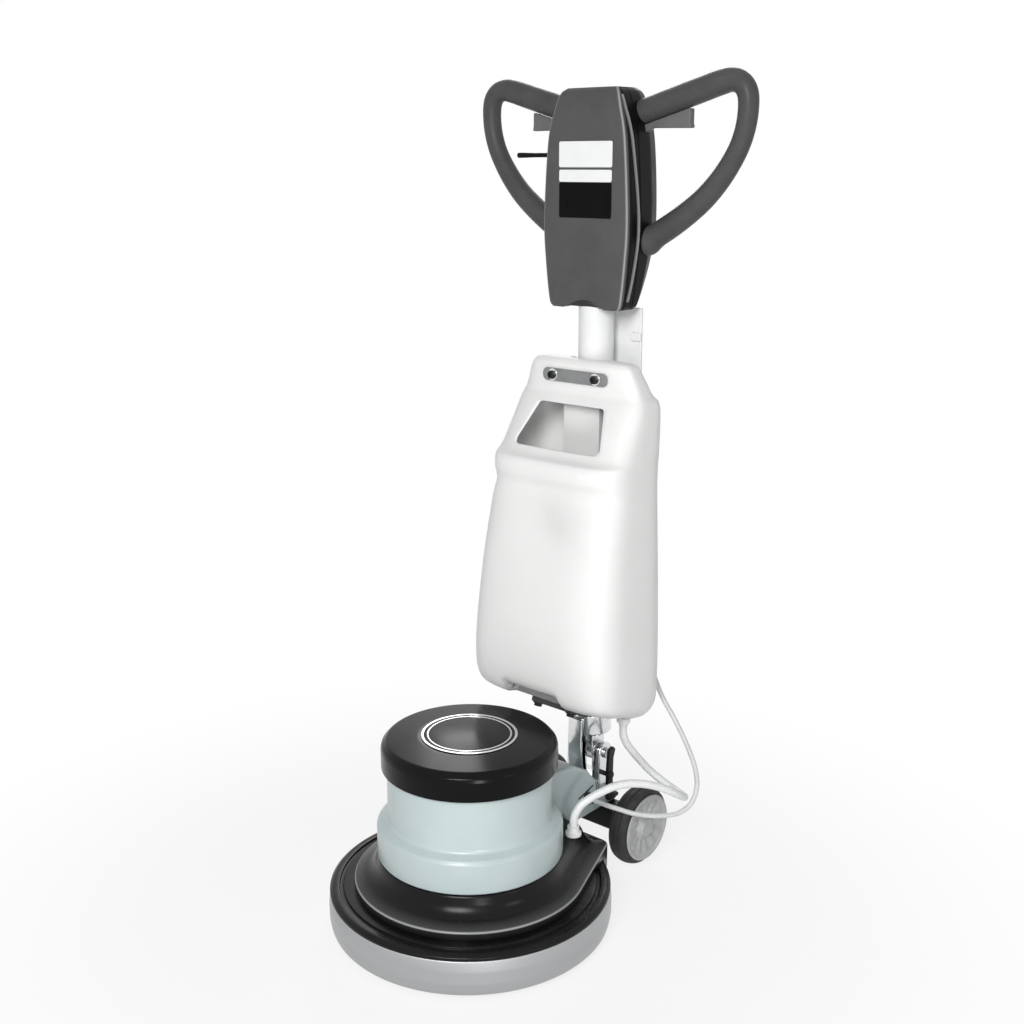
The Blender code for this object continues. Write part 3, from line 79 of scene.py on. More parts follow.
PLATE_HALF, PLATE_H, PLATE_T, PLATE_BOLT_X = 0.063, 0.020, 0.004, 0.042
STRAP_HALF, STRAP_T, STRAP_BOLT_X = 0.045, 0.011, 0.034
HOSE_R, LEAD_R = 0.0065, 0.0040

# Height at the rear, rise to the front, half width, front face y, rear face y
TANK_LEVELS = (
    (0.268, 0.046, 0.106, 0.180, 0.310), (0.279, 0.043, 0.124, 0.155, 0.322),
    (0.306, 0.034, 0.139, 0.138, TANK_BACK_Y), (0.362, 0.016, 0.1425, 0.132, TANK_BACK_Y),
    (0.440, 0.000, 0.141, 0.135, TANK_BACK_Y), (0.540, 0.000, 0.136, 0.148, TANK_BACK_Y),
    (0.630, 0.000, 0.130, 0.165, TANK_BACK_Y), (0.664, 0.000, 0.1275, 0.175, TANK_BACK_Y),
    (0.686, 0.000, 0.128, 0.170, TANK_BACK_Y), (0.706, 0.000, 0.128, 0.174, TANK_BACK_Y),
    (0.723, 0.000, 0.127, 0.194, TANK_BACK_Y), (0.789, 0.000, 0.121, 0.237, TANK_BACK_Y),
    (0.810, 0.000, 0.113, 0.249, 0.314), (0.843, 0.000, 0.100, 0.249, 0.300),
    (0.854, 0.000, 0.092, 0.254, 0.292), (0.858, 0.000, 0.082, 0.260, 0.284),
)
PLATE_LEVEL = 12              # the tank level whose front face carries the top plate
# Height, half width, front face y, rear face y
CONSOLE_LEVELS = (
    (0.936, 0.064, 0.2680, 0.319), (0.948, 0.070, 0.2665, 0.329), (1.005, 0.077, 0.2655, 0.350),
    (1.071, 0.0805, 0.2650, 0.362), (1.186, 0.0735, 0.2650, 0.362), (1.235, 0.062, 0.2680, 0.356),
    (1.255, 0.055, 0.2720, 0.350), (1.263, 0.047, 0.2790, 0.342),
)
CONSOLE_WIDE, CONSOLE_FACE, CONSOLE_BACK = 0.0805, 0.2650, 0.362     # at its widest level
LOOP_PATH = (
    (0.046, 1.224), (0.080, 1.233), (0.147, 1.2515), (0.196, 1.265), (0.216, 1.2675), (0.231, 1.262),
    (0.240, 1.250), (0.2425, 1.232), (0.240, 1.206), (0.232, 1.180), (0.219, 1.156), (0.200, 1.130),
    (0.176, 1.105), (0.148, 1.083), (0.116, 1.062), (0.083, 1.043), (0.050, 1.026),
)
# Share of LOOP_R at each of those points
LOOP_SWELL = (1.0, 1.0, 1.0, 0.97, 0.91, 0.86, 0.83, 0.81, 0.80, 0.80, 0.82, 0.86, 0.91, 0.96, 1.0, 1.0, 1.0)
MOUTH = ((-0.085, 0.724), (0.085, 0.724), (0.063, 0.789), (-0.063, 0.789))
HOSE_PATH = (
    (0.0800, 0.2860, 0.2570), (0.0803, 0.2864, 0.2400), (0.0832, 0.2925, 0.2235), (0.0878, 0.3035, 0.2065),
    (0.0934, 0.3158, 0.1895), (0.0991, 0.3266, 0.1748), (0.1067, 0.3371, 0.1611), (0.1176, 0.3458, 0.1493),
    (0.1319, 0.3503, 0.1408), (0.1482, 0.3486, 0.1372), (0.1636, 0.3408, 0.1386), (0.1758, 0.3286, 0.1441),
    (0.1840, 0.3141, 0.1522), (0.1882, 0.2986, 0.1617), (0.1883, 0.2828, 0.1719), (0.1843, 0.2674, 0.1818),
    (0.1769, 0.2523, 0.1903), (0.1669, 0.2377, 0.1967), (0.1553, 0.2231, 0.2004), (0.1432, 0.2086, 0.2010),
    (0.1315, 0.1940, 0.1984), (0.1205, 0.1785, 0.1922), (0.1095, 0.1625, 0.1835), (0.1005, 0.1475, 0.1725),
    (0.0962, 0.1395, 0.1585), (0.0951, 0.1372, 0.1480), (0.0950, 0.1370, 0.1405),
)
LEAD_PATH = (
    (0.0400, 0.3432, 0.5200), (0.0540, 0.3432, 0.4600), (0.0700, 0.3432, 0.4100), (0.0860, 0.3432, 0.3650),
    (0.1010, 0.3432, 0.3280), (0.1180, 0.3428, 0.2980), (0.1380, 0.3420, 0.2740), (0.1570, 0.3405, 0.2500),
    (0.1745, 0.3390, 0.2240), (0.1890, 0.3372, 0.1960), (0.1970, 0.3320, 0.1680), (0.1960, 0.3190, 0.1435),
    (0.1860, 0.3005, 0.1300), (0.1695, 0.2810, 0.1265), (0.1505, 0.2630, 0.1270), (0.1300, 0.2480, 0.1300),
    (0.1080, 0.2390, 0.1335), (0.0860, 0.2350, 0.1350), (0.0660, 0.2350, 0.1350), (0.0610, 0.2350, 0.1350),
)

SIDES = (("right", 1.0), ("left", -1.0))     # with the sign of x

# Limits of the mesh work
TINY = 1e-6                   # shortest length worth an arc
ZERO = 1e-12                  # keeps a division finite
MERGE = 2e-6                  # points closer than this are one
FLAT = 0.00005                # an end face is flat if its points lie this close to a plane
NEAR_HALF = 0.49              # the most of an edge that one rounded corner takes
MITRE = 0.5                   # how far a mitre may reach: one over this
DOME_STEPS = 6
SKEW = (0.31, 0.52, 0.79)     # a direction that no path runs along


# Curves and outlines

def flow(points, count):
    """A Catmull-Rom curve through the points, as count samples evenly spread over the spans."""
    p = np.array(points, float)
    q = np.vstack([2 * p[0] - p[1], p, 2 * p[-1] - p[-2]])
    t = np.linspace(0.0, len(p) - 1 - 1e-9, count)
    i = t.astype(int)
    f = (t - i)[:, None]
    a, b, c, d = q[i], q[i + 1], q[i + 2], q[i + 3]
    return 0.5 * (2 * b + (c - a) * f + (2 * a - 5 * b + 4 * c - d) * f**2 + (3 * b - a - 3 * c + d) * f**3)


def even(points, count):
    """The same polyline with its samples moved to equal steps of arc length."""
    p = np.array(points, float)
    run = np.r_[0.0, np.cumsum(np.linalg.norm(np.diff(p, axis=0), axis=1))]
    s = np.linspace(0.0, run[-1], count)
    return np.stack([np.interp(s, run, p[:, k]) for k in range(p.shape[1])], axis=1)


def rounded(points, radius, arc=5, closed=False):
    """A polyline whose corners become arcs, each starting radius * tan(half the turn) from its corner."""
    p = np.array(points, float)
    r = np.broadcast_to(np.array(radius, float), len(p))
    made = [] if closed else [p[:1]]
    for k in range(len(p)) if closed else range(1, len(p) - 1):
        before, here, after = p[k - 1], p[k], p[(k + 1) % len(p)]
        back, ahead = before - here, after - here
        reach_back, reach_ahead = np.linalg.norm(back), np.linalg.norm(ahead)
        back, ahead = back / reach_back, ahead / reach_ahead
        turn = math.pi - math.acos(np.clip(back @ ahead, -1.0, 1.0))
        cut = min(r[k] * math.tan(turn / 2), NEAR_HALF * reach_back, NEAR_HALF * reach_ahead)
        if cut < TINY:
            made.append(here[None])
            continue
        size = cut / math.tan(turn / 2)
        middle = back + ahead
        centre = here + middle / np.linalg.norm(middle) * size / math.cos(turn / 2)
        share = np.linspace(0.0, 1.0, arc + 1)[:, None]
        first, last = here + back * cut - centre, here + ahead * cut - centre
        swing = np.sin((1 - share) * turn) * first + np.sin(share * turn) * last
        made.append(centre + swing / math.sin(turn))
    if not closed:
        made.append(p[-1:])
    return np.concatenate(made)


def bent(corners, arc=5, closed=False):
    """A rounded polyline from corners given as (across, up, radius)."""
    c = np.array(corners, float)
    return rounded(c[:, :2], c[:, 2], arc, closed)


def oblong(left, right, low, high, radius, arc=5):
    """A rectangle with rounded corners."""
    return rounded([(left, low), (right, low), (right, high), (left, high)], radius, arc, closed=True)


def looped(outline, count):
    """A closed outline at count equal steps."""
    return even(np.concatenate([outline, outline[:1]]), count + 1)[:-1]


def inward(outline, depth):
    """A closed outline moved in by depth along the mitre of its two edges at each point."""
    p = np.array(outline, float)
    ahead = np.roll(p, -1, axis=0) - p
    ahead /= np.maximum(np.linalg.norm(ahead, axis=1, keepdims=True), ZERO)
    both = ahead + np.roll(ahead, 1, axis=0)
    area = np.sum(p[:, 0] * np.roll(p[:, 1], -1) - p[:, 1] * np.roll(p[:, 0], -1))
    side = 1.0 if area > 0 else -1.0
    normal = side * np.stack([-both[:, 1], both[:, 0]], axis=1)
    normal /= np.maximum(np.linalg.norm(normal, axis=1, keepdims=True), ZERO)
    lean = np.abs(np.sum(normal * np.stack([-ahead[:, 1], ahead[:, 0]], axis=1), axis=1, keepdims=True))
    return p + normal * depth / np.maximum(lean, MITRE)


def circle(steps):
    """Angles of a full turn in equal steps."""
    return np.linspace(0.0, 2 * math.pi, steps, endpoint=False)


def smooth(share):
    """A share held between 0 and 1 and eased as 3 s^2 - 2 s^3."""
    s = np.clip(share, 0.0, 1.0)
    return s * s * (3 - 2 * s)


def bell(off, width):
    """exp(-(off / width)^2)."""
    return np.exp(-((off / width) ** 2))


# Grids of points

def turned(profile, steps=128):
    """Profile points (radius, height) carried round Z: x = r cos a, y = r sin a, z = height."""
    p = np.array(profile, float)
    a = circle(steps)
    x = p[:, :1] * np.cos(a)
    y = p[:, :1] * np.sin(a)
    return np.stack([x, y, np.broadcast_to(p[:, 1:], x.shape)], axis=-1)


def slab(outline, low, high, edge, arc=4):
    """An outline carried from low to high, drawn in along a quarter circle of radius edge at both faces."""
    a = np.linspace(0.0, math.pi / 2, arc + 1)
    inset = np.r_[edge * (1 - np.sin(a)), edge * (1 - np.cos(a))]
    height = np.r_[low + edge * (1 - np.cos(a)), high - edge * (1 - np.sin(a))]
    rows = [np.column_stack([inward(outline, d), np.full(len(outline), h)]) for d, h in zip(inset, height)]
    return np.array(rows)


def swept(path, radius, steps=24, dome=True):
    """A circle carried along a path on frames of least twist; dome rounds both ends with a half ball."""
    p = np.array(path, float)
    r = np.broadcast_to(np.array(radius, float), len(p)).copy()
    tangent = np.gradient(p, axis=0)
    tangent /= np.linalg.norm(tangent, axis=1, keepdims=True)
    if dome:
        a = np.linspace(0.0, math.pi / 2, DOME_STEPS + 1)[:-1]
        head = p[0] + tangent[0] * (r[0] * (1 - np.cos(a)))[:, None]
        tail = p[-1] - tangent[-1] * (r[-1] * (1 - np.cos(a[::-1])))[:, None]
        keep = (np.linalg.norm(p - p[0], axis=1) > r[0]) & (np.linalg.norm(p - p[-1], axis=1) > r[-1])
        rise = np.maximum(np.sin(a), 1e-4)
        p, r = np.concatenate([head, p[keep], tail]), np.r_[r[0] * rise, r[keep], r[-1] * rise[::-1]]
        first, last = np.repeat(tangent[:1], DOME_STEPS, 0), np.repeat(tangent[-1:], DOME_STEPS, 0)
        tangent = np.concatenate([first, tangent[keep], last])
    side = np.cross(tangent[0], SKEW)
    sides = []
    for t in tangent:
        side = side - t * (side @ t)
        side = side / np.linalg.norm(side)
        sides.append(side)
    u = np.array(sides)
    v = np.cross(tangent, u)
    a = circle(steps)[:, None]
    return p[:, None] + r[:, None, None] * (u[:, None] * np.cos(a) + v[:, None] * np.sin(a))


def laid(grid, order, shift=(0.0, 0.0, 0.0)):
    """A grid with its axes dealt out again: "zxy" for an outline drawn in (y, z) and carried along x."""
    picked = [grid[..., "xyz".index(letter)] for letter in order]
    return np.stack(picked, axis=-1) + np.array(shift)


def strips(grid_index):
    """The quads between the rows of a grid of point numbers."""
    g = grid_index
    return np.stack([g[:-1, :-1], g[:-1, 1:], g[1:, 1:], g[1:, :-1]], axis=-1)


def band(first, second):
    """The quads between two closed loops of as many point numbers."""
    return np.stack([first, np.roll(first, -1), np.roll(second, -1), second], axis=-1).tolist()


def skin(grid, caps=True, ring=False):
    """Vertices and faces of a grid of closed rows: quads between rows, with the end rows as faces.

    With ring, the last row joins the first one instead.
    """
    index = np.arange(grid[..., 0].size).reshape(grid.shape[:2])
    wide = np.concatenate([index, index[:, :1]], axis=1)
    tall = np.concatenate([wide, wide[:1]], axis=0) if ring else wide
    faces = strips(tall).reshape(-1, 4).tolist()
    if caps and not ring:
        faces += [index[0][::-1].tolist(), index[-1].tolist()]
    return grid.reshape(-1, 3), faces


def along_x(outline, low, high, edge):
    """A slab drawn in (y, z), as a skin."""
    return skin(laid(slab(outline, low, high, edge), "zxy"))


def along_y(outline, low, high, edge):
    """A slab drawn in (x, z), as a skin."""
    return skin(laid(slab(outline, low, high, edge), "xzy"))


# Pieces

def show(name, skins, material, body, stands_for=(), sharp=35.0, edge=None):
    """One piece from skins of (vertices, faces): doubles merged, faces outwards, smooth below sharp degrees.

    A many-sided end face is shaded flat where it lies in a plane to within FLAT.
    edge is a function of the points that gives the share of painted highlight at each, from 0 to 1.
    """
    points, faces, start = [], [], 0
    for vertices, polygons in skins if isinstance(skins, list) else [skins]:
        points.append(vertices)
        faces += [[start + k for k in polygon] for polygon in polygons]
        start += len(vertices)
    mesh = bpy.data.meshes.new(name)
    mesh.from_pydata(np.concatenate(points), [], faces)
    bm = bmesh.new()
    bm.from_mesh(mesh)
    bmesh.ops.remove_doubles(bm, verts=bm.verts, dist=MERGE)
    bmesh.ops.recalc_face_normals(bm, faces=bm.faces)
    bm.to_mesh(mesh)
    bm.free()
    mesh.shade_smooth()
    mesh.set_sharp_from_angle(angle=math.radians(sharp))
    for face in mesh.polygons:
        if len(face.vertices) > 4:
            corners = np.array([mesh.vertices[k].co for k in face.vertices])
            off_plane = (corners - corners.mean(axis=0)) @ np.array(face.normal)
            face.use_smooth = bool(np.abs(off_plane).max() > FLAT)
    if edge:
        share = edge(np.array([v.co for v in mesh.vertices])).astype(np.float32)
        mesh.attributes.new("edge", "FLOAT", "POINT").data.foreach_set("value", share)
    mesh.materials.append(material)
    piece = bpy.data.objects.new(name, mesh)
    bpy.context.scene.collection.objects.link(piece)
    if body:
        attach(piece, body)
    if stands_for:
        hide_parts(*stands_for)
    return piece


# Materials

def linear(code):
    """An sRGB hex code as linear RGBA."""
    s = np.array([int(code[k:k + 2], 16) / 255 for k in (1, 3, 5)])
    return (*np.where(s <= 0.04045, s / 12.92, ((s + 0.055) / 1.055) ** 2.4).tolist(), 1.0)


def node(tree, kind, inputs, **settings):
    """Adds a node, sets its properties, and fills its inputs with values or links them to sockets."""
    made = tree.nodes.new(kind)
    for key, value in settings.items():
        setattr(made, key, value)
    for key, value in inputs.items():
        if isinstance(value, bpy.types.NodeSocket):
            tree.links.new(value, made.inputs[key])
        else:
            made.inputs[key].default_value = value
    return made


def per_mm(size):
    """The texture scale in metres that repeats once in this many millimetres."""
    return 1000.0 / size


COAT_ROUGHNESS = 0.06
SUBSURFACE_REACH = 0.012      # metres that light goes through white polyethylene


def finish(name, colour, second, patch, rough, grain, depth, stretch=(1.0, 1.0, 1.0), metallic=0.0, coat=0.0,
           ior=1.5, detail=4.0, sheen=0.0, subsurface=0.0, specular=0.5, edge=None):
    """A Principled material: two close colours in patches, a roughness that wanders, and a grain as bump.

    patch and grain are in millimetres, depth is the grain's height in millimetres, and rough is a pair.
    edge is the colour of a painted highlight, laid on where the mesh's attribute of that name is 1.
    """
    made = bpy.data.materials.new(name)
    made.use_nodes = True
    tree = made.node_tree
    shader = tree.nodes["Principled BSDF"]
    place = node(tree, "ShaderNodeTexCoord", {}).outputs["Object"]
    drawn = node(tree, "ShaderNodeMapping", {"Vector": place, "Scale": stretch}).outputs["Vector"]
    cloud = node(tree, "ShaderNodeTexNoise",
                 {"Vector": drawn, "Scale": per_mm(patch), "Detail": 5.0, "Roughness": 0.6})
    spread = node(tree, "ShaderNodeMapRange",
                  {"Value": cloud.outputs["Fac"], "From Min": 0.32, "From Max": 0.68}).outputs["Result"]
    shade = node(tree, "ShaderNodeMix", {0: spread, 6: linear(colour), 7: linear(second)},
                 data_type="RGBA").outputs[2]
    if edge:
        # A pale colour painted on as a highlight where the attribute edge is 1
        painted_highlight_share = node(tree, "ShaderNodeAttribute", {}, attribute_name="edge").outputs["Fac"]
        shade = node(tree, "ShaderNodeMix", {0: painted_highlight_share, 6: shade, 7: linear(edge)},
                     data_type="RGBA").outputs[2]
    tree.links.new(shade, shader.inputs["Base Color"])
    rub = node(tree, "ShaderNodeTexNoise", {"Vector": drawn, "Scale": per_mm(patch * 0.6), "Detail": 6.0})
    wander = node(tree, "ShaderNodeMapRange", {"Value": rub.outputs["Fac"], "From Min": 0.3, "From Max": 0.7,
                                               "To Min": rough[0], "To Max": rough[1]})
    tree.links.new(wander.outputs["Result"], shader.inputs["Roughness"])
    fine = node(tree, "ShaderNodeTexNoise", {"Vector": drawn, "Scale": per_mm(grain), "Detail": detail})
    bump = node(tree, "ShaderNodeBump",
                {"Height": fine.outputs["Fac"], "Distance": depth / 1000.0, "Strength": 1.0})
    tree.links.new(bump.outputs["Normal"], shader.inputs["Normal"])
    shader.inputs["Metallic"].default_value = metallic
    shader.inputs["Coat Weight"].default_value = coat
    shader.inputs["Coat Roughness"].default_value = COAT_ROUGHNESS
    if not metallic:
        shader.inputs["IOR"].default_value = ior
        shader.inputs["Specular IOR Level"].default_value = specular
    if sheen:
        shader.inputs["Sheen Weight"].default_value = sheen
    if subsurface:
        shader.inputs["Subsurface Weight"].default_value = subsurface
        shader.inputs["Subsurface Radius"].default_value = (1.0, 1.0, 1.0)
        shader.inputs["Subsurface Scale"].default_value = SUBSURFACE_REACH
    return made


# Injection-moulded ABS polished in the tool: near black, mirror-like, with the faint waves of the mould
CAP_ABS = finish("polished_black_abs", "#060607", "#0a0a0b", 90, (0.16, 0.24), 22, 0.05,
                 ior=1.54, specular=0.12)
# The deck's black takes a pale painted highlight, #b4b5b6, along the shroud's rim
DECK_ABS = finish("gloss_black_abs_deck", "#09090a", "#0e0e10", 70, (0.18, 0.28), 18, 0.05,
                  ior=1.54, specular=0.16, edge="#b4b5b6")
PLATE_ABS = finish("satin_black_abs_plate", "#0c0c0d", "#131315", 50, (0.20, 0.32), 6, 0.03,
                   ior=1.54, specular=0.15)
# Spun aluminium, satin: the lathe leaves fine lines round the ring, which stretch the highlights up and down
SPUN_ALUMINIUM = finish("spun_aluminium_satin", "#b2b3b4", "#a6a7a8", 60, (0.44, 0.56), 1.6, 0.02,
                        stretch=(0.04, 0.04, 1.0), metallic=1.0)
# Aluminium, turned and anodised bright: fine and even
BADGE_RING = finish("bright_anodised_aluminium", "#dcdddd", "#cfd0d0", 20, (0.16, 0.26), 1.2, 0.01,
                    metallic=1.0)
# Stoved enamel on cast aluminium: pale grey-green, with a slight orange peel
ENAMEL = finish("stoved_enamel_pale_grey_green", "#bfcccd", "#b9c7c7", 60, (0.28, 0.38), 2.6, 0.02,
                ior=1.52, coat=0.15)
# Rotomoulded polyethylene: white, waxy and a little mottled from the powder
HDPE = finish("rotomoulded_polyethylene_white", "#f4f4f3", "#f0f0ef", 120, (0.38, 0.46), 3.0, 0.02,
              ior=1.53, subsurface=0.35, specular=0.35)
# Powder coat on steel tube: white, fine even pebble
POWDER_WHITE = finish("powder_coated_steel_white", "#eeefee", "#e6e7e7", 40, (0.28, 0.38), 1.2, 0.02)
# Polypropylene from a spark-eroded tool: charcoal, black and grey, its matt grain drawn coarser than 0.3 mm
# The charcoal takes a pale painted highlight, #a2a2a3, along the fascia's rim and the ribs' outer sides
CHARCOAL_PP = finish("moulded_polypropylene_charcoal", "#575758", "#4f4f50", 60, (0.40, 0.52), 0.8, 0.035,
                     ior=1.49, specular=0.13, edge="#a2a2a3")
BLACK_PP = finish("moulded_polypropylene_black", "#0d0d0e", "#141415", 50, (0.28, 0.40), 0.8, 0.03,
                  ior=1.49, specular=0.09)
GRIP_PP = finish("moulded_polypropylene_grip", "#525253", "#484849", 45, (0.30, 0.44), 1.0, 0.05,
                 ior=1.49, specular=0.12)
HUB_PP = finish("moulded_polypropylene_grey", "#b3b4b4", "#a6a7a7", 20, (0.34, 0.46), 0.9, 0.03, ior=1.49)
# Nylon, moulded in two greys: matt, with a fine grain
GREY_NYLON = finish("moulded_nylon_grey", "#6b6b6c", "#606061", 25, (0.40, 0.52), 0.9, 0.03,
                    ior=1.53, specular=0.3)
PLATE_NYLON = finish("moulded_nylon_light_grey", "#88898a", "#7c7d7e", 25, (0.40, 0.52), 0.9, 0.03,
                     ior=1.53, specular=0.3)
# Electroplated chrome on forged steel: bright, with soft ripples and handling marks
CHROME = finish("chrome_plated_steel", "#dfe0e1", "#d2d3d4", 14, (0.08, 0.20), 9, 0.05, metallic=1.0)
# Steel, oiled black or painted: uneven in shine, with the grain of the strip under it
BLACK_STEEL = finish("blackened_steel", "#1c1c1d", "#2a2a2b", 8, (0.34, 0.50), 1.1, 0.03, metallic=0.6)
BLACK_PAINT = finish("black_paint_on_steel", "#101011", "#171718", 20, (0.34, 0.48), 1.4, 0.03, specular=0.25)
STRAP_PAINT = finish("grey_paint_on_strap_steel", "#3a3a3b", "#303031", 16, (0.36, 0.48), 1.4, 0.03)
# Vulcanised rubber: matt black with a dusty bloom
RUBBER = finish("vulcanised_rubber_black", "#161616", "#242424", 18, (0.62, 0.80), 1.0, 0.06, ior=1.52)
# Plasticised PVC, extruded: smooth, soft shine, faint unevenness along the run
HOSE_PVC = finish("extruded_pvc_white", "#eeefef", "#e3e4e5", 24, (0.24, 0.36), 4.0, 0.03,
                  ior=1.53, subsurface=0.05)
LEAD_PVC = finish("extruded_pvc_light_grey", "#d9dada", "#cccdcd", 24, (0.34, 0.46), 3.0, 0.03, ior=1.53)
# Non-woven nylon fibre bonded with abrasive: dark, open and dull, with fibres about a millimetre apart
PAD_FIBRE = finish("nonwoven_nylon_pad", "#2b2523", "#3b322f", 3, (0.85, 0.98), 1.4, 0.8,
                   detail=8.0, sheen=0.3)
# Polyester label film, screen printed: flat white and flat black with a satin overlay
LABEL_WHITE = finish("polyester_label_white", "#f1f2f2", "#ebecec", 30, (0.30, 0.38), 2.0, 0.01, ior=1.57)
LABEL_BLACK = finish("polyester_label_black", "#080809", "#0d0d0e", 30, (0.26, 0.34), 2.0, 0.01,
                     ior=1.57, specular=0.05)
# The works inside: machined steel, cast aluminium, varnished copper, laminated iron, glass-filled nylon
STEEL = finish("machined_steel", "#b8b9bb", "#a9aaad", 6, (0.24, 0.38), 0.7, 0.015, metallic=1.0)
CAST = finish("cast_aluminium", "#b9babb", "#a8a9aa", 9, (0.42, 0.58), 1.3, 0.06, metallic=1.0)
COPPER = finish("varnished_copper_winding", "#a8582e", "#7c3c1d", 2.4, (0.30, 0.45), 0.9, 0.25,
                stretch=(1.0, 1.0, 0.2), metallic=0.8)
IRON = finish("laminated_iron", "#6d6d70", "#58585b", 1.0, (0.40, 0.55), 0.9, 0.05,
              stretch=(0.05, 0.05, 1.0), metallic=1.0)
DARK_NYLON = finish("glass_filled_nylon_black", "#202021", "#2a2a2b", 12, (0.50, 0.64), 0.9, 0.04, ior=1.53)


# Camera, first, and the cords

LENS_MM, SENSOR_MM = 46.80, 36.0
CAMERA_PLACE, CAMERA_AIM = (1.2775, -1.3677, 1.1516), (-0.6357, 0.7295, -0.2526)
ROUTE_FINE, ROUTE_STEPS, CORD_SIDES = 600, 160, 20


def make_camera():
    """The photograph's camera, placed and turned by the fit to the photograph."""
    lens = bpy.data.cameras.new("camera")
    lens.lens, lens.sensor_width = LENS_MM, SENSOR_MM
    camera = bpy.data.objects.new("camera", lens)
    bpy.context.scene.collection.objects.link(camera)
    camera.location = CAMERA_PLACE
    camera.rotation_euler = Vector(CAMERA_AIM).to_track_quat("-Z", "Y").to_euler()
    bpy.context.scene.camera = camera


def cord(name, points, radius, material, node_name):
    """A round cord swept along a smooth route of equal steps."""
    route = even(flow(points, ROUTE_FINE), ROUTE_STEPS)
    tube = skin(swept(route, radius, CORD_SIDES, dome=False))
    piece = show(name, tube, material, None, (node_name,), 60.0)
    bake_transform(piece)


make_camera()
cord("water_hose", HOSE_PATH, HOSE_R, HOSE_PVC, "solution_hose")
cord("supply_lead", LEAD_PATH, LEAD_R, LEAD_PVC, "motor_lead")


# Head

PAD_CORNER, PAD_ROWS, PAD_STEPS = 0.005, 90, 220
SHAG, SHAG_FROM_R, SHAG_EASE = 0.0008, 0.15, 0.05
COVER_STEPS, COVER_CORNER = 240, 0.014
# Height, share and width of the painted highlight along the shroud's rim
RIM_H, RIM_HIGHLIGHT_SHARE, RIM_HIGHLIGHT_WIDTH = 0.0118, 0.85, 0.0013


def cover_outline(inset):
    """The deck cover from above, at equal steps: an arc of COVER_R, tapering sides, a straight rear edge."""
    radius, rear = COVER_R - inset, COVER_REAR_Y - inset
    a = COVER_TAPER - (math.pi + 2 * COVER_TAPER) * np.linspace(0.0, 1.0, 81)
    arc = np.column_stack([radius * np.cos(a), radius * np.sin(a)])
    corner = arc[0, 0] - (rear - arc[0, 1]) * math.tan(COVER_TAPER)
    rear_run = rounded([arc[-1], (-corner, rear), (corner, rear), arc[0]], COVER_CORNER, 8)
    return even(np.concatenate([arc, rear_run[1:]]), COVER_STEPS + 1)[:-1]


def shroud_painted_highlight(points):
    """Painted highlight along the rim of the shroud: a bell in height about the turn from its side to its
    slope.
    """
    return RIM_HIGHLIGHT_SHARE * bell(points[:, 2] - (DECK_Z + GAP + RIM_H), RIM_HIGHLIGHT_WIDTH)


def build_pad():
    """The pad: a disc with soft corners, whose rim is drawn in by up to SHAG where two waves cross."""
    outline = even(rounded([(0, 0), (PAD_R, 0), (PAD_R, PAD_T), (0, PAD_T)], PAD_CORNER), PAD_ROWS)
    radius, height = outline[:, :1], outline[:, 1:]
    angle = circle(PAD_STEPS)
    shaggy = SHAG * np.sin(37 * angle) * np.sin(61 * angle + 40 * height / PAD_T)
    rim = np.clip((radius - SHAG_FROM_R) / SHAG_EASE, 0.0, 1.0)
    disc = turned(outline, PAD_STEPS)
    disc[..., :2] *= 1 - (np.abs(shaggy) * rim / np.maximum(radius, TINY))[..., None]
    piece = show("cleaning_pad", skin(disc), PAD_FIBRE, "brush", ("floor_pad",), 60.0)


def build_deck():
    """Skirt ring, deck plate with its groove, and the cover over them."""
    top = DECK_Z - 0.009
    skirt = bent([
        (SKIRT_IN, SKIRT_LIP + 0.002, 0.001), (SKIRT_R - 0.009, SKIRT_LIP, 0.006),
        (SKIRT_R - 0.003, SKIRT_LIP + 0.006, 0.014), (SKIRT_R, SKIRT_LIP + 0.022, 0.03),
        (SKIRT_R, SKIRT_LIP + 0.042, 0.03), (SKIRT_R - 0.0022, top, 0.0022),
        (SKIRT_IN, top, 0.001)], 6, closed=True)
    show("spun_skirt", skin(turned(skirt, 192), ring=True), SPUN_ALUMINIUM, "base", ("skirt_ring",))

    rim, inner = SKIRT_R - 0.001, SKIRT_IN - 0.006
    under, seat, groove = DECK_Z - 0.0145, DECK_Z - 0.0087, DECK_Z - 0.0032
    plate = bent([
        (CASE_R, under, 0.001), (inner, under, 0.001), (inner, seat, 0.001), (rim - 0.0005, seat, 0.0012),
        (rim - 0.0005, DECK_Z - 0.004, 0.003), (rim - 0.006, DECK_Z, 0.006), (rim - 0.0155, DECK_Z, 0.0012),
        (rim - 0.0165, groove, 0.0009), (rim - 0.0215, groove, 0.0009), (rim - 0.0225, DECK_Z, 0.0012),
        (CASE_R, DECK_Z, 0.001)], 5, closed=True)
    show("deck_disc", skin(turned(plate, 192), ring=True), PLATE_ABS, "base", ("deck_plate",))

    base, top = DECK_Z + GAP, FLANGE_Z - 2 * GAP
    steps = bent([
        (0.0, base, 0), (0.0, base + 0.0125, 0.0045), (0.030, base + 0.0250, 0.035), (0.0385, top, 0.006),
        (0.060, top, 0)], 9)
    rows = [np.column_stack([cover_outline(inset), np.full(COVER_STEPS, z)]) for inset, z in steps]
    lower = cover_outline(0.0)
    behind = np.clip((np.hypot(lower[:, 0], lower[:, 1]) - SKIRT_R - 0.0005) / 0.002, 0.0, 1.0)
    tail = np.column_stack([lower, base - behind * (base - COVER_TAIL_Z)])
    # The shroud's rim is lightened by a painted highlight
    show("deck_shroud", skin(np.array([tail, *rows])), DECK_ABS, "base", ("deck_cover",),
         40.0, shroud_painted_highlight)


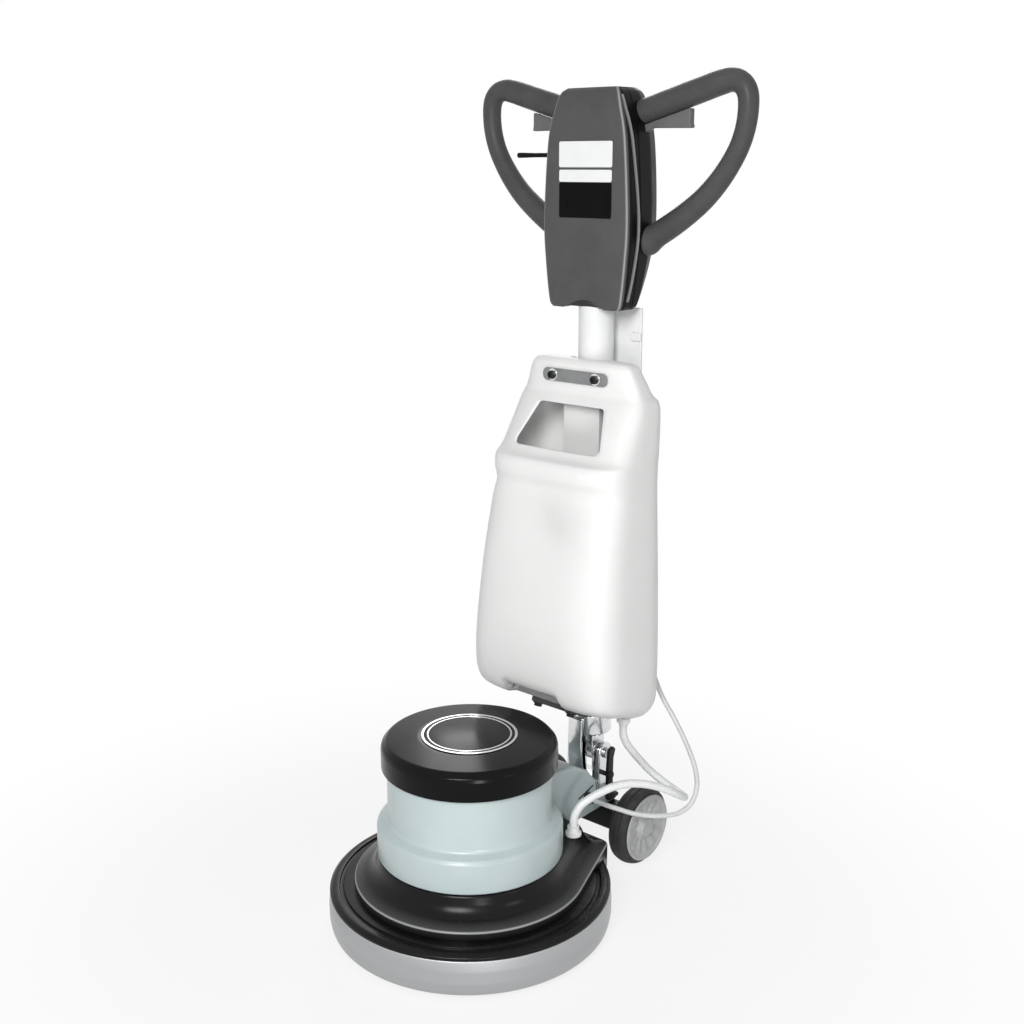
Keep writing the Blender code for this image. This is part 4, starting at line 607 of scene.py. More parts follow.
def build_motor():
    """Motor housing with its shoulder, cap and badge, all turned about the spindle axis."""
    inner, floor = MOTOR_R - 0.008, FLANGE_Z + 0.015
    body = bent([
        (SHAFT_BORE_R, FLANGE_Z, 0.001), (FLANGE_R, FLANGE_Z, 0.004), (FLANGE_R, SHOULDER_Z - 0.002, 0.005),
        (FLANGE_R - 0.004, SHOULDER_Z + 0.003, 0.004), (MOTOR_R + 0.0015, SHOULDER_Z + 0.009, 0.006),
        (MOTOR_R, SHOULDER_Z + 0.014, 0.01), (MOTOR_R, MOTOR_TOP_Z, 0.002), (inner, MOTOR_TOP_Z, 0.001),
        (inner, floor, 0.003), (SHAFT_BORE_R, floor, 0.001)], 6, closed=True)
    show("motor_body", skin(turned(body, 160), ring=True), ENAMEL, "base", ("motor_housing",))

    crown, under, bore = CAP_TOP_Z + CAP_CROWN, CAP_TOP_Z - 0.005, MOTOR_R + GAP
    lid = bent([
        (0, crown, 0), (BADGE_R + 0.005, crown, 0.03), (CAP_R - 0.009, CAP_TOP_Z + 0.0005, 0.007),
        (CAP_R - 0.0015, CAP_TOP_Z - 0.007, 0.005), (CAP_R, CAP_TOP_Z - 0.013, 0.008), (CAP_R, CAP_Z, 0.0018),
        (bore, CAP_Z, 0.001), (bore, CAP_TOP_Z - 0.012, 0.001), (MOTOR_R - 0.006, under, 0.001),
        (0, under, 0)], 7)
    show("motor_lid", skin(turned(lid, 160), caps=False), CAP_ABS, "base", ("motor_cap",))

    z = crown + GAP
    disc = rounded([(0, z), (BADGE_R, z), (BADGE_R, z + 0.0007), (0, z + 0.0007)], 0.0003, 3)
    show("badge_disc", skin(turned(disc), caps=False), CAP_ABS, "base", ("cap_badge",))
    for name, outer, wide in (("outer", BADGE_R, 0.0042), ("inner", BADGE_R - 0.0088, 0.0026)):
        ring = oblong(outer - wide, outer, z + 0.0004, z + 0.0014, 0.0005, 4)
        show(f"badge_ring_{name}", skin(turned(ring), ring=True), BADGE_RING, "base", ())


# Neck, hinge and wheels

UNDER_Z = AXLE_Z + BRACKET_T + GAP
SHELF_Z = UNDER_Z + SHELF_H
FOOT_Z = SHELF_Z + GAP
HEEL_Z = FOOT_Z + 0.014
NECK_FRONT_Y, NECK_EDGE, NECK_STEP_Z = 0.108, 0.006, SHOULDER_Z + 0.006
SLOT_AHEAD, SLOT_BEHIND, SLOT_HALF = np.array((0.213, 0.140)), np.array((0.253, 0.151)), 0.0016
STAY_HALF, LOCK_T = 0.014, 0.006
SPOKES, SPOKE_H, SPOKE_EASE = 12, 0.0022, 0.004
# The lock lever about its pivot, as (y, z)
LOCK_SHAPE = np.array([
    (-0.007, -0.044), (0.006, -0.047), (0.024, -0.045), (0.024, -0.039), (0.009, -0.035), (0.007, -0.008),
    (0.008, 0.030), (0.013, 0.044), (0.007, 0.050), (-0.004, 0.046), (-0.007, 0.010)])


def build_neck():
    """The neck from the motor to the axle, its front clear of the motor's two radii, with painted shade for a
    slot per side.
    """
    rear = POLE_Y + FOOT_HALF
    side = bent([
        (NECK_FRONT_Y, FLANGE_Z + GAP, 0.002), (0.174, FLANGE_Z + GAP, 0.004), (0.188, UNDER_Z, 0.006),
        (rear, UNDER_Z, 0.006), (rear, SHELF_Z, 0.006), (POLE_Y - 0.034, SHELF_Z, 0.008),
        (POLE_Y - 0.037, SHELF_Z + 0.026, 0.02), (POLE_Y - 0.058, SHELF_Z + 0.050, 0.03),
        (POLE_Y - 0.098, SHELF_Z + 0.073, 0.03), (NECK_FRONT_Y, SHELF_Z + 0.084, 0.004),
        (NECK_FRONT_Y, NECK_STEP_Z + 0.0005, 0), (NECK_FRONT_Y, NECK_STEP_Z - 0.0005, 0)], 6, closed=True)
    neck = laid(slab(side, -NECK_HALF, NECK_HALF, NECK_EDGE, 6), "zxy")
    clear = np.where(neck[..., 2] < NECK_STEP_Z, FLANGE_R, MOTOR_R) + GAP
    neck[..., 1] = np.maximum(neck[..., 1], np.sqrt(clear**2 - neck[..., 0] ** 2))
    show("neck_web", skin(neck), ENAMEL, "base", ("rear_neck",), 50.0)

    # Painted shade: a thin black rubber strip on each side, a little proud of the face, stands for a slot
    # that is not cut
    run = (SLOT_BEHIND - SLOT_AHEAD) / np.linalg.norm(SLOT_BEHIND - SLOT_AHEAD)
    across = SLOT_HALF * np.array((run[1], -run[0]))
    slot = rounded([SLOT_AHEAD + across, SLOT_BEHIND + across, SLOT_BEHIND - across, SLOT_AHEAD - across],
                   0.0014, 4, closed=True)
    slot_shade_strip = laid(slab(slot, NECK_HALF - 0.001, NECK_HALF + 0.0004, 0.0002), "zxy")
    for name, sign in SIDES:
        show(f"neck_slot_shade_{name}", skin(slot_shade_strip * (sign, 1, 1)), RUBBER, "base", ())


def build_hinge():
    """The chrome fork with its bolt, the stay that the handle rests on, and the lock lever."""
    a = np.linspace(0.0, math.pi, 25)
    top = np.column_stack([POLE_Y + EAR_R * np.cos(a), HINGE_Z + EAR_R * np.sin(a)])
    front, rear = POLE_Y - FOOT_HALF, POLE_Y + FOOT_HALF
    sides = rounded([
        top[-1], (POLE_Y - EAR_R, HEEL_Z), (front, FOOT_Z), (rear, FOOT_Z), (POLE_Y + EAR_R, HEEL_Z),
        top[0]], 0.004, 4)
    ear = np.concatenate([sides[1:-1], top])
    heel = oblong(front, rear, FOOT_Z, HEEL_Z, 0.002, 4)
    fork = [along_x(ear, -EAR_HALF, -LUG_HALF - GAP, 0.0018), along_x(ear, LUG_HALF + GAP, EAR_HALF, 0.0018),
            along_x(heel, -EAR_HALF + 0.001, EAR_HALF - 0.001, 0.0015)]
    show("hinge_fork", fork, CHROME, "base", ("hinge_yoke",), 40.0)
    head_r = PIN_R + 0.003
    pin = bent([
        (0, -EAR_HALF - 0.003, 0), (head_r, -EAR_HALF - 0.003, 0.001), (head_r, -EAR_HALF, 0.0003),
        (PIN_R, -EAR_HALF, 0.0003), (PIN_R, EAR_HALF, 0.0003), (head_r, EAR_HALF, 0.0003),
        (head_r, EAR_HALF + 0.004, 0.0012), (0, EAR_HALF + 0.004, 0)], 4)
    bolt = laid(turned(pin, 48), "zxy", (0, POLE_Y, HINGE_Z))
    show("hinge_bolt", skin(bolt, caps=False), STEEL, "base", ("hinge_pin",))

    face, heel_y, stay_top = POLE_Y - POLE_R - SOCKET_WALL - 2 * GAP, front - GAP, SOCKET_TOP_Z - 0.006
    stay = rounded([
        (heel_y, FOOT_Z + 0.004), (heel_y, FOOT_Z + 0.018), (heel_y - 0.010, FOOT_Z + 0.036),
        (face, FOOT_Z + 0.058), (face, stay_top), (face - 0.005, stay_top), (face - 0.007, FOOT_Z + 0.080),
        (face - 0.005, FOOT_Z + 0.056), (heel_y - 0.015, FOOT_Z + 0.032)], 0.0035, 5, closed=True)
    show("handle_rest", along_x(stay, -STAY_HALF, STAY_HALF, 0.002), CHROME, "base",
         ("handle_stop",), 40.0)

    pivot, near = (POLE_Y - 0.008, HEEL_Z + 0.012), NECK_HALF + 2 * GAP
    blade = along_x(rounded(LOCK_SHAPE + pivot, 0.0035, 5, closed=True), near, near + LOCK_T, 0.0012)
    boss = bent([
        (0, LUG_HALF + 0.003, 0), (0.004, LUG_HALF + 0.003, 0.0003), (0.004, NECK_HALF + 0.004, 0.0003),
        (0.0075, NECK_HALF + 0.004, 0.0003), (0.0075, NECK_HALF + 0.0085, 0.0012),
        (0, NECK_HALF + 0.0085, 0)], 4)
    stud = skin(laid(turned(boss, 40), "zxy", (0, *pivot)), caps=False)
    show("lock_pedal", [blade, stud], BLACK_PAINT, "lock", ("lock_lever",), 40.0)


def build_wheels():
    """Two wheels: a tyre with two grooves, and a dished hub whose spokes rise as cos^2 of the angle."""
    back, front = HUB_BACK_X, HUB_FACE_X
    half = np.array([
        (HUB_R + GAP, 0.002, 0.001), (HUB_R + 0.010, 0.0, 0.006), (WHEEL_R - 0.003, 0.004, 0.005),
        (WHEEL_R - 0.0006, 0.011, 0.002), (WHEEL_R - 0.0022, 0.0118, 0.0006),
        (WHEEL_R - 0.0022, 0.0132, 0.0006), (WHEEL_R, 0.014, 0.001)])
    other = half[::-1] * (1, -1, 1) + (0, front - 0.004, 0)
    tyre = bent(np.concatenate([half + (0, back + 0.007, 0), other]), 5, closed=True)
    face = bent([
        (AXLE_BORE_R, back, 0.0005), (0.016, back, 0.002), (0.018, back + 0.006, 0.002),
        (HUB_R - 0.004, back + 0.008, 0.002), (HUB_R, back + 0.010, 0.001), (HUB_R, front - 0.0038, 0.0003),
        (FACE_R, front - 0.0038, 0.0010), (FACE_R, front - 0.0008, 0.0010), (FACE_R - 0.0045, front, 0.0020),
        (FACE_R - 0.0075, front - 0.0030, 0.004), (0.024, front - 0.0085, 0.004),
        (0.0155, front - 0.0015, 0.001), (0.0155, front, 0.001), (0, front, 0)], 5)
    dense = looped(np.concatenate([face, [(0, front - 0.005), (AXLE_BORE_R, front - 0.005)]]), 149)
    radius, depth = dense[:, :1], dense[:, 1:]
    inside = np.array([depth - front + 0.016, radius - 0.021, FACE_R - 0.008 - radius]) / SPOKE_EASE
    dish = turned(dense, 120)
    dish[..., 2] += SPOKE_H * np.clip(inside, 0.0, 1.0).prod(axis=0) * np.cos(SPOKES / 2 * circle(120)) ** 2
    for name, sign in SIDES:
        for piece, grid, material, stands_for, slot in (
                ("tyre_tread", turned(tyre, 96), RUBBER, "tyre", "tyre"),
                ("hub_disc", dish, HUB_PP, "wheel_hub", "hub_plastic")):
            wheel = laid(grid, "zxy") * (sign, 1, 1) + (0, AXLE_Y, AXLE_Z)
            show(f"{piece}_{name}", skin(wheel, ring=True), material, f"wheel_{name}",
                 (f"{stands_for}_{name}",))


# Tank

LEVELS = flow(TANK_LEVELS, 181)
INNER_LEVELS = LEVELS[10:157]
POWER = 4.0                   # of the superellipse that each level is
GROOVE = POLE_R + GAP + 0.002
FRONT_STEPS, CHANNEL_STEPS = 201, 9
MOUTH_CENTRE, MOUTH_CORNER, MOUTH_FLARE, MOUTH_ROUND = np.array((0.0, 0.757)), 0.007, 1.035, 0.034
WINDOW_COLUMNS, WINDOW_Z = (68, 132), (0.7135, 0.7995)     # the part of the grid that the mouth takes up
SCOOP, SCOOP_X, SCOOP_Z, SCOOP_LEAN = 0.0038, 0.020, 0.620, 0.45
NOTCH, NOTCH_HALF, NOTCH_REAR_Y, NOTCH_TOP_Z = 0.018, 0.062, 0.250, 0.372


def tank_front(x, z, inset):
    """Front of the tank: y = mid - depth (1 - |x / half|^4)^(1/4), the level's sizes looked up by height."""
    half, front, rear = (np.interp(z, LEVELS[:, 0], LEVELS[:, k]) for k in (2, 3, 4))
    half, front, rear = half - inset, front + inset, rear - inset
    flat = np.maximum(1 - np.abs(x / half) ** POWER, 0.0) ** (1 / POWER)
    return (front + rear) / 2 - (rear - front) / 2 * flat


def scoop(x, z):
    """Depth of the grip hollow below the lip: a soft oval bell that leans to one side."""
    lean = x - SCOOP_X - SCOOP_LEAN * (SCOOP_Z + 0.020 - z)
    return SCOOP * bell(lean, 0.050) * bell(z - SCOOP_Z, 0.052)


def strap_notch(x, y, z):
    """Lift of the tank's lower front edge over its strap, eased out sideways, to the rear and upwards."""
    across = smooth((NOTCH_HALF - np.abs(x)) / 0.010)
    return NOTCH * across * smooth((NOTCH_REAR_Y - y) / 0.060) * smooth((NOTCH_TOP_Z - z) / 0.060)


def tank_wall(inset, levels):
    """Rows of the tank: a superellipse from one edge of the pole channel round to the other, and the channel.

    At a polar angle t, x = half r cos t and y = mid + depth r sin t, with r = (|cos t|^4 + |sin t|^4)^(-1/4).
    """
    height, rise, half, front, rear = levels.T[:, :, None]
    height = np.clip(height, TANK_LEVELS[0][0] + inset, TANK_LEVELS[-1][0] - inset)
    half, front, rear = half - inset, front + inset, rear - inset
    groove = GROOVE + inset
    mid, depth = (front + rear) / 2, (rear - front) / 2
    start = np.arctan2((1 - (groove / half) ** POWER) ** (1 / POWER), groove / half)
    t = start - (math.pi + 2 * start) * np.linspace(0.0, 1.0, FRONT_STEPS)
    r = (np.abs(np.cos(t)) ** POWER + np.abs(np.sin(t)) ** POWER) ** (-1 / POWER)
    x = half * r * np.cos(t)
    y = mid + depth * r * np.sin(t)
    end = np.full_like(y[:, -1:], POLE_Y - groove)
    share = np.linspace(0.0, 1.0, CHANNEL_STEPS)[1:]
    side = y[:, -1:] + (end - y[:, -1:]) * share
    across = np.broadcast_to(-groove + 2 * groove * share[:-1], (len(x), len(share) - 1))
    x = np.concatenate([x, np.full_like(side, -groove), across, np.full_like(side, groove)], axis=1)
    y = np.concatenate([y, side, np.broadcast_to(end, across.shape), side[:, ::-1]], axis=1)
    z = height + rise * (rear - y) / (rear - front)
    if inset == 0.0:
        y = y + scoop(x, z) * np.clip((mid - y) / depth * 2 - 0.6, 0.0, 1.0)
    return np.stack([x, y, z + strap_notch(x, y, z)], axis=-1)


def build_shell():
    """The tank as one closed shell: outer wall, rounded mouth, inner wall.

    A window is left out of both walls' grids, and its border is drawn in to the mouth along each front face.
    """
    ring = looped(rounded(MOUTH, MOUTH_CORNER, 8, closed=True), 720) - MOUTH_CENTRE
    angle = np.arctan2(ring[:, 1], ring[:, 0])
    order = np.argsort(angle)
    turn = np.concatenate([angle[order] + whole for whole in (-2 * math.pi, 0.0, 2 * math.pi)])
    reach = np.tile(np.hypot(*ring[order].T), 3)
    left, right = WINDOW_COLUMNS
    points, faces, rims, count = [], [], [], 0

    def joined(loop, places):
        """The loop's new neighbour at these places, with the quads between the two added."""
        nonlocal count
        fresh = np.arange(count, count + len(places))
        points.append(places)
        faces.extend(band(loop, fresh))
        count += len(places)
        return fresh

    for inset, levels in ((0.0, LEVELS), (TANK_WALL, INNER_LEVELS)):
        wall = tank_wall(inset, levels)
        low, high = np.searchsorted(wall[:, FRONT_STEPS // 2, 2], WINDOW_Z) - (1, 0)
        index = count + np.arange(wall[..., 0].size).reshape(wall.shape[:2])
        quads = strips(np.concatenate([index, index[:, :1]], axis=1))
        keep = np.ones(quads.shape[:2], bool)
        keep[low:high, left:right] = False
        faces += quads[keep].tolist() + [index[0][::-1].tolist(), index[-1].tolist()]
        loop = np.concatenate([
            index[low, left:right], index[low:high, right], index[high, right:left:-1],
            index[high:low:-1, left]])
        edge = wall.reshape(-1, 3)[loop - count][:, [0, 2]]
        points.append(wall.reshape(-1, 3))
        count += index.size
        away = edge - MOUTH_CENTRE
        bearing = np.interp(np.arctan2(away[:, 1], away[:, 0]), turn, reach)[:, None]
        rim = MOUTH_CENTRE + MOUTH_FLARE * bearing * away / np.linalg.norm(away, axis=1, keepdims=True)
        for share in np.linspace(0.0, 1.0, 9)[1:]:
            x, z = (edge + (rim - edge) * share).T
            loop = joined(loop, np.column_stack([x, tank_front(x, z, inset), z]))
        rims.append((loop, points[-1]))

    (loop, outer), (last, inner) = rims
    for share in np.linspace(0.0, 1.0, 11)[1:-1]:
        places = outer * (1 - share) + inner * share
        drawn = 1 - MOUTH_ROUND * (1 - abs(2 * share - 1) ** 3)
        places[:, [0, 2]] = MOUTH_CENTRE + (places[:, [0, 2]] - MOUTH_CENTRE) * drawn
        loop = joined(loop, places)
    faces += band(loop, last)
    show("tank_shell", (np.concatenate(points), faces), HDPE, "handle", ("solution_tank",),
         55.0)


def seated(points):
    """Points in the tank floor's own plane, turned about X by its slope and moved to its rear edge."""
    base, rise, _, front, rear = TANK_LEVELS[0]
    lean = -math.atan2(rise, rear - front)
    x, y, z = np.moveaxis(points, -1, 0)
    return np.stack([x, rear + y * math.cos(lean) - z * math.sin(lean),
                     base + y * math.sin(lean) + z * math.cos(lean)], axis=-1)


def bolt_head():
    """A washer turned from a ring profile, and a six-sided head with a chamfered crown, both along +Z."""
    ring = [(0.0001, 0, 0), (0.0095, 0, 0.0006), (0.0095, 0.0016, 0.0006), (0.0001, 0.0016, 0)]
    a = circle(72)
    six = 0.0062 / np.cos((a % (math.pi / 3)) - math.pi / 6)
    rows = []
    for radius, height in ((math.inf, 0.0014), (math.inf, 0.0052), (0.0066, 0.0060), (0.0058, 0.0065),
                           (0.0036, 0.0065), (0.0032, 0.0045), (0.0001, 0.0045)):
        r = np.minimum(six, radius)
        rows.append(np.column_stack([r * np.cos(a), r * np.sin(a), np.full(72, height)]))
    return turned(bent(ring, 4), 48), np.array(rows)


def rear_screw(name, place, metal):
    """A round head with a socket, turned from its profile and seated on a face that looks to the rear."""
    profile = bent([
        (0.0001, -0.001, 0), (0.0050, -0.001, 0.0003), (0.0050, 0.0012, 0.0006), (0.0040, 0.0022, 0.0004),
        (0.0026, 0.0022, 0.0002), (0.0024, 0.0008, 0.0002), (0.0001, 0.0008, 0)], 3)
    show(name, skin(laid(turned(profile, 32), "xzy", place)), metal, "handle", ())


def build_fittings():
    """The tank's top plate and floor strap with their bolts, its outlet, and the rear panel with a clip."""
    level_z, _, _, level_y, _ = TANK_LEVELS[PLATE_LEVEL]
    plate_y, plate_z = level_y - GAP, level_z + 0.012
    plate = oblong(-PLATE_HALF, PLATE_HALF, plate_z, plate_z + PLATE_H, 0.0085, 8)
    show("top_plate", along_y(plate, plate_y - PLATE_T, plate_y, 0.0012), PLATE_NYLON, "handle",
         ("tank_top_plate",))
    _, _, _, front, rear = TANK_LEVELS[0]
    strap_front, strap_rear = front - rear + 0.012, POLE_Y - POLE_R - 0.012 - rear
    strap = oblong(-STRAP_HALF, STRAP_HALF, strap_front, strap_rear, 0.006, 6)
    show("floor_strap", skin(seated(slab(strap, -STRAP_T - GAP, -GAP, 0.0016))), STRAP_PAINT, "handle",
         ("tank_bottom_strap",))
    washer, head = bolt_head()
    for i, sign in ((1, -1.0), (2, 1.0)):
        face = (sign * PLATE_BOLT_X, plate_y - PLATE_T - GAP, plate_z + PLATE_H / 2)
        below = (sign * STRAP_BOLT_X, strap_front + 0.010, -STRAP_T - 2 * GAP)
        ahead = [skin(laid(part, "xzy") * (1, -1, 1) + face) for part in (washer, head)]
        down = [skin(seated(part * (1, -1, -1) + below)) for part in (washer, head)]
        show(f"plate_washer_{i}", ahead[0], CHROME, "handle", ())
        show(f"plate_screw_{i}", ahead[1], BLACK_STEEL, "handle", (f"plate_bolt_{i}",))
        show(f"strap_screw_{i}", down[1], BLACK_STEEL, "handle", (f"strap_bolt_{i}",))
        show(f"strap_washer_{i}", down[0], BLACK_STEEL, "handle", ())

    x, y, z = HOSE_PATH[0]
    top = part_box("outlet_fitting")[1].z
    neck_r, collar_r = HOSE_R + 0.0012, HOSE_R + 0.005
    spout = bent([
        (0, z + GAP, 0), (neck_r, z + GAP, 0.001), (neck_r, z + 0.006, 0.001), (collar_r, z + 0.007, 0.0015),
        (collar_r, top, 0.001), (0, top, 0)], 4)
    show("outlet_spout", skin(turned(spout, 64) + (x, y, 0), caps=False), HDPE, "handle", ("outlet_fitting",))
    low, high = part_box("rear_panel")
    panel = oblong(-0.062, 0.062, 0.500, high.z, (0.012, 0.012, 0.003, 0.003), 6)
    ribs = [along_y(oblong(x - 0.0075, x + 0.0075, 0.560, 0.770, 0.003, 4), low.y, high.y - 0.002, 0.0005)
            for x in (-0.0475, 0.0475)]
    show("back_panel", [along_y(panel, high.y - 0.0045, high.y, 0.0012), *ribs], POWDER_WHITE, "handle",
         ("rear_panel",))
    for i, (x, z) in enumerate(((-0.051, 0.545), (0.051, 0.545), (-0.051, 0.785), (0.051, 0.785))):
        rear_screw(f"panel_screw_{i + 1}", (x, high.y, z), STEEL)
    clip = oblong(0.044, 0.0632, 0.884, 0.897, 0.003)
    show("cord_clip", along_y(clip, high.y - 0.0085, high.y - 0.0046, 0.001), HDPE, "handle", ())


# Handle

CONSOLE_ROWS = flow(CONSOLE_LEVELS, 120)
ARCH_H, ARCH_HALF, ARCH_FADE = 0.013, 0.040, 0.016
# The line of the console's ribs from the top down, as (y, z)
RIB_LINE = flow([
    (0.2790, 1.252), (0.2835, 1.205), (0.2890, 1.150), (0.2940, 1.100), (0.2960, 1.060), (0.2945, 1.020),
    (0.2900, 0.980), (0.2850, 0.948)], 90)
# Rib radius and the share of painted highlight on its outer side; the width of the painted highlight on the
# fascia's rim
RIB_R, RIB_HIGHLIGHT = 0.0032, 0.75
FASCIA_HIGHLIGHT_WIDTH = 0.0016
LABEL_X, LABEL_Y = 0.003, (0.26185, 0.2627)
GLAND_RIB, GLAND_PITCH = 0.0009, 0.0030
FLARE, FLARE_X, FLARE_WIDTH, FLARE_BELOW_Z = 0.22, 0.076, 0.011, 1.1
ROD_Y, ROD_Z = 0.312, 1.166


def console_at(z, column):
    """A column of the console's levels at these heights: 1 half width, 2 front face, 3 rear face."""
    return np.interp(z, CONSOLE_ROWS[:, 0], CONSOLE_ROWS[:, column])


def console_layer(right, crown, split, far):
    """Rows of one layer of the console: an outline drawn for its widest level and scaled to each level.

    right is the outline's right side as (x, y, radius), and crown runs along the front from left to right.
    Across, x goes with the level's half width.
    In depth, y goes from the split to the level's front or rear face.
    The lower edge rises by ARCH_H (1 - (x / ARCH_HALF)^2)^1.5 round the pole, fading out with height.
    """
    left = [(-x, y, radius) for x, y, radius in right[::-1]]
    nominal = looped(bent([*right, *left, *crown], 5, closed=True), 260)
    height, half, front, rear = CONSOLE_ROWS.T[:, :, None]
    face = front if far < split else rear
    x = nominal[:, 0] * half / CONSOLE_WIDE
    y = split + (nominal[:, 1] - split) / (far - split) * (face - split)
    arch = np.maximum(0.0, 1 - (x / ARCH_HALF) ** 2) ** 1.5
    return np.stack([x, y, height + ARCH_H * bell(height - CONSOLE_ROWS[0, 0], ARCH_FADE) * arch], axis=-1)


def fascia_painted_highlight(points):
    """Painted highlight along the rim of the fascia: a bell round the line where its face turns into its
    cheek.
    """
    side = np.abs(points[:, 0]) - console_at(points[:, 2], 1) + 0.0008
    return bell(np.hypot(side, points[:, 1] - console_at(points[:, 2], 2) - 0.0012), FASCIA_HIGHLIGHT_WIDTH)


def rib_painted_highlight(points):
    """Painted highlight on the outer side of a rib, from the console's half width outwards."""
    line_z = RIB_LINE[::-1, 1]
    out = np.abs(points[:, 0]) - np.interp(points[:, 2], line_z, console_at(line_z, 1))
    return RIB_HIGHLIGHT * np.clip(out / (RIB_R / 2), 0.0, 1.0)


def build_console():
    """The fascia plate, the cheek behind it with its two ribs, and the rear shell with its screws."""
    wide, face, split = CONSOLE_WIDE, CONSOLE_FACE, CONSOLE_SPLIT_Y
    crown = [(wide * s, face + 0.0005 - 0.003 * (1 - s * s), 0.02)
             for s in (-0.8, -0.55, -0.3, 0.0, 0.3, 0.55, 0.8)]
    plate = console_layer([
        (wide, face + 0.0005, 0.0032), (wide, face + 0.0085, 0.0012),
        (wide - 0.004, face + 0.0097, 0.0005)], crown, split, face)
    # The fascia's rim is lightened by a painted highlight
    show("console_fascia", skin(plate), CHARCOAL_PP, "handle", ("console_front",), 50.0,
         fascia_painted_highlight)
    cheek = console_layer([
        (wide - 0.0045, face + 0.0097, 0.0005), (wide - 0.0045, face + 0.0125, 0.0010),
        (wide - 0.0015, face + 0.0140, 0.0025), (wide - 0.0012, split, 0.0005)], [], split, face)
    show("console_cheek", skin(cheek), BLACK_PP, "handle", (), 50.0)
    shell = console_layer([
        (wide - 0.0005, split + GAP, 0.0005), (wide - 0.001, split + 0.030, 0.020),
        (wide - 0.012, CONSOLE_BACK, 0.016)], [], split + GAP, CONSOLE_BACK)
    show("console_back", skin(shell), BLACK_PP, "handle", ("console_rear",), 50.0)
    for i, (x, z) in enumerate(((-0.044, 1.010), (0.044, 1.010), (-0.040, 1.195), (0.040, 1.195))):
        rear_screw(f"console_screw_{i + 1}", (x, console_at(z, 3), z), BLACK_STEEL)
    half = console_at(RIB_LINE[:, 1], 1) - RIB_R / 2
    for name, sign in SIDES:
        # Each rib's outer side is lightened by a painted highlight
        rib = swept(np.column_stack([sign * half, RIB_LINE]), RIB_R, 16)
        show(f"console_rib_{name}", skin(rib), CHARCOAL_PP, "handle", (), 60.0, rib_painted_highlight)


def build_pole():
    """The pole in its socket, whose tongue goes into the hinge fork."""
    wall = oblong(POLE_IN_R, POLE_R, SOCKET_Z + 0.0075, POLE_TOP_Z, 0.0004, 3)
    show("handle_tube", skin(turned(wall, 96) + (0, POLE_Y, 0), ring=True), POWDER_WHITE, "handle", ("pole",))
    outer, rim, bore, floor = POLE_R + SOCKET_WALL, POLE_R + 0.006, POLE_R + GAP, SOCKET_Z + 0.007
    cup = bent([
        (0, SOCKET_Z, 0), (rim, SOCKET_Z, 0.001), (outer, SOCKET_Z + 0.003, 0.002),
        (outer, SOCKET_TOP_Z - 0.002, 0.002), (rim, SOCKET_TOP_Z, 0.001), (bore, SOCKET_TOP_Z, 0.0005),
        (bore, floor, 0.0005), (0, floor, 0)], 4)
    a = np.linspace(math.pi, 2 * math.pi, 25)
    tongue = np.concatenate([
        np.column_stack([POLE_Y + LUG_R * np.cos(a), HINGE_Z + LUG_R * np.sin(a)]),
        [(POLE_Y + LUG_R, SOCKET_Z + 0.003), (POLE_Y - LUG_R, SOCKET_Z + 0.003)]])
    parts = [skin(turned(cup, 96) + (0, POLE_Y, 0), caps=False), along_x(tongue, -LUG_HALF, LUG_HALF, 0.0016)]
    show("pole_socket", parts, CHROME, "handle", ("handle_socket",), 40.0)


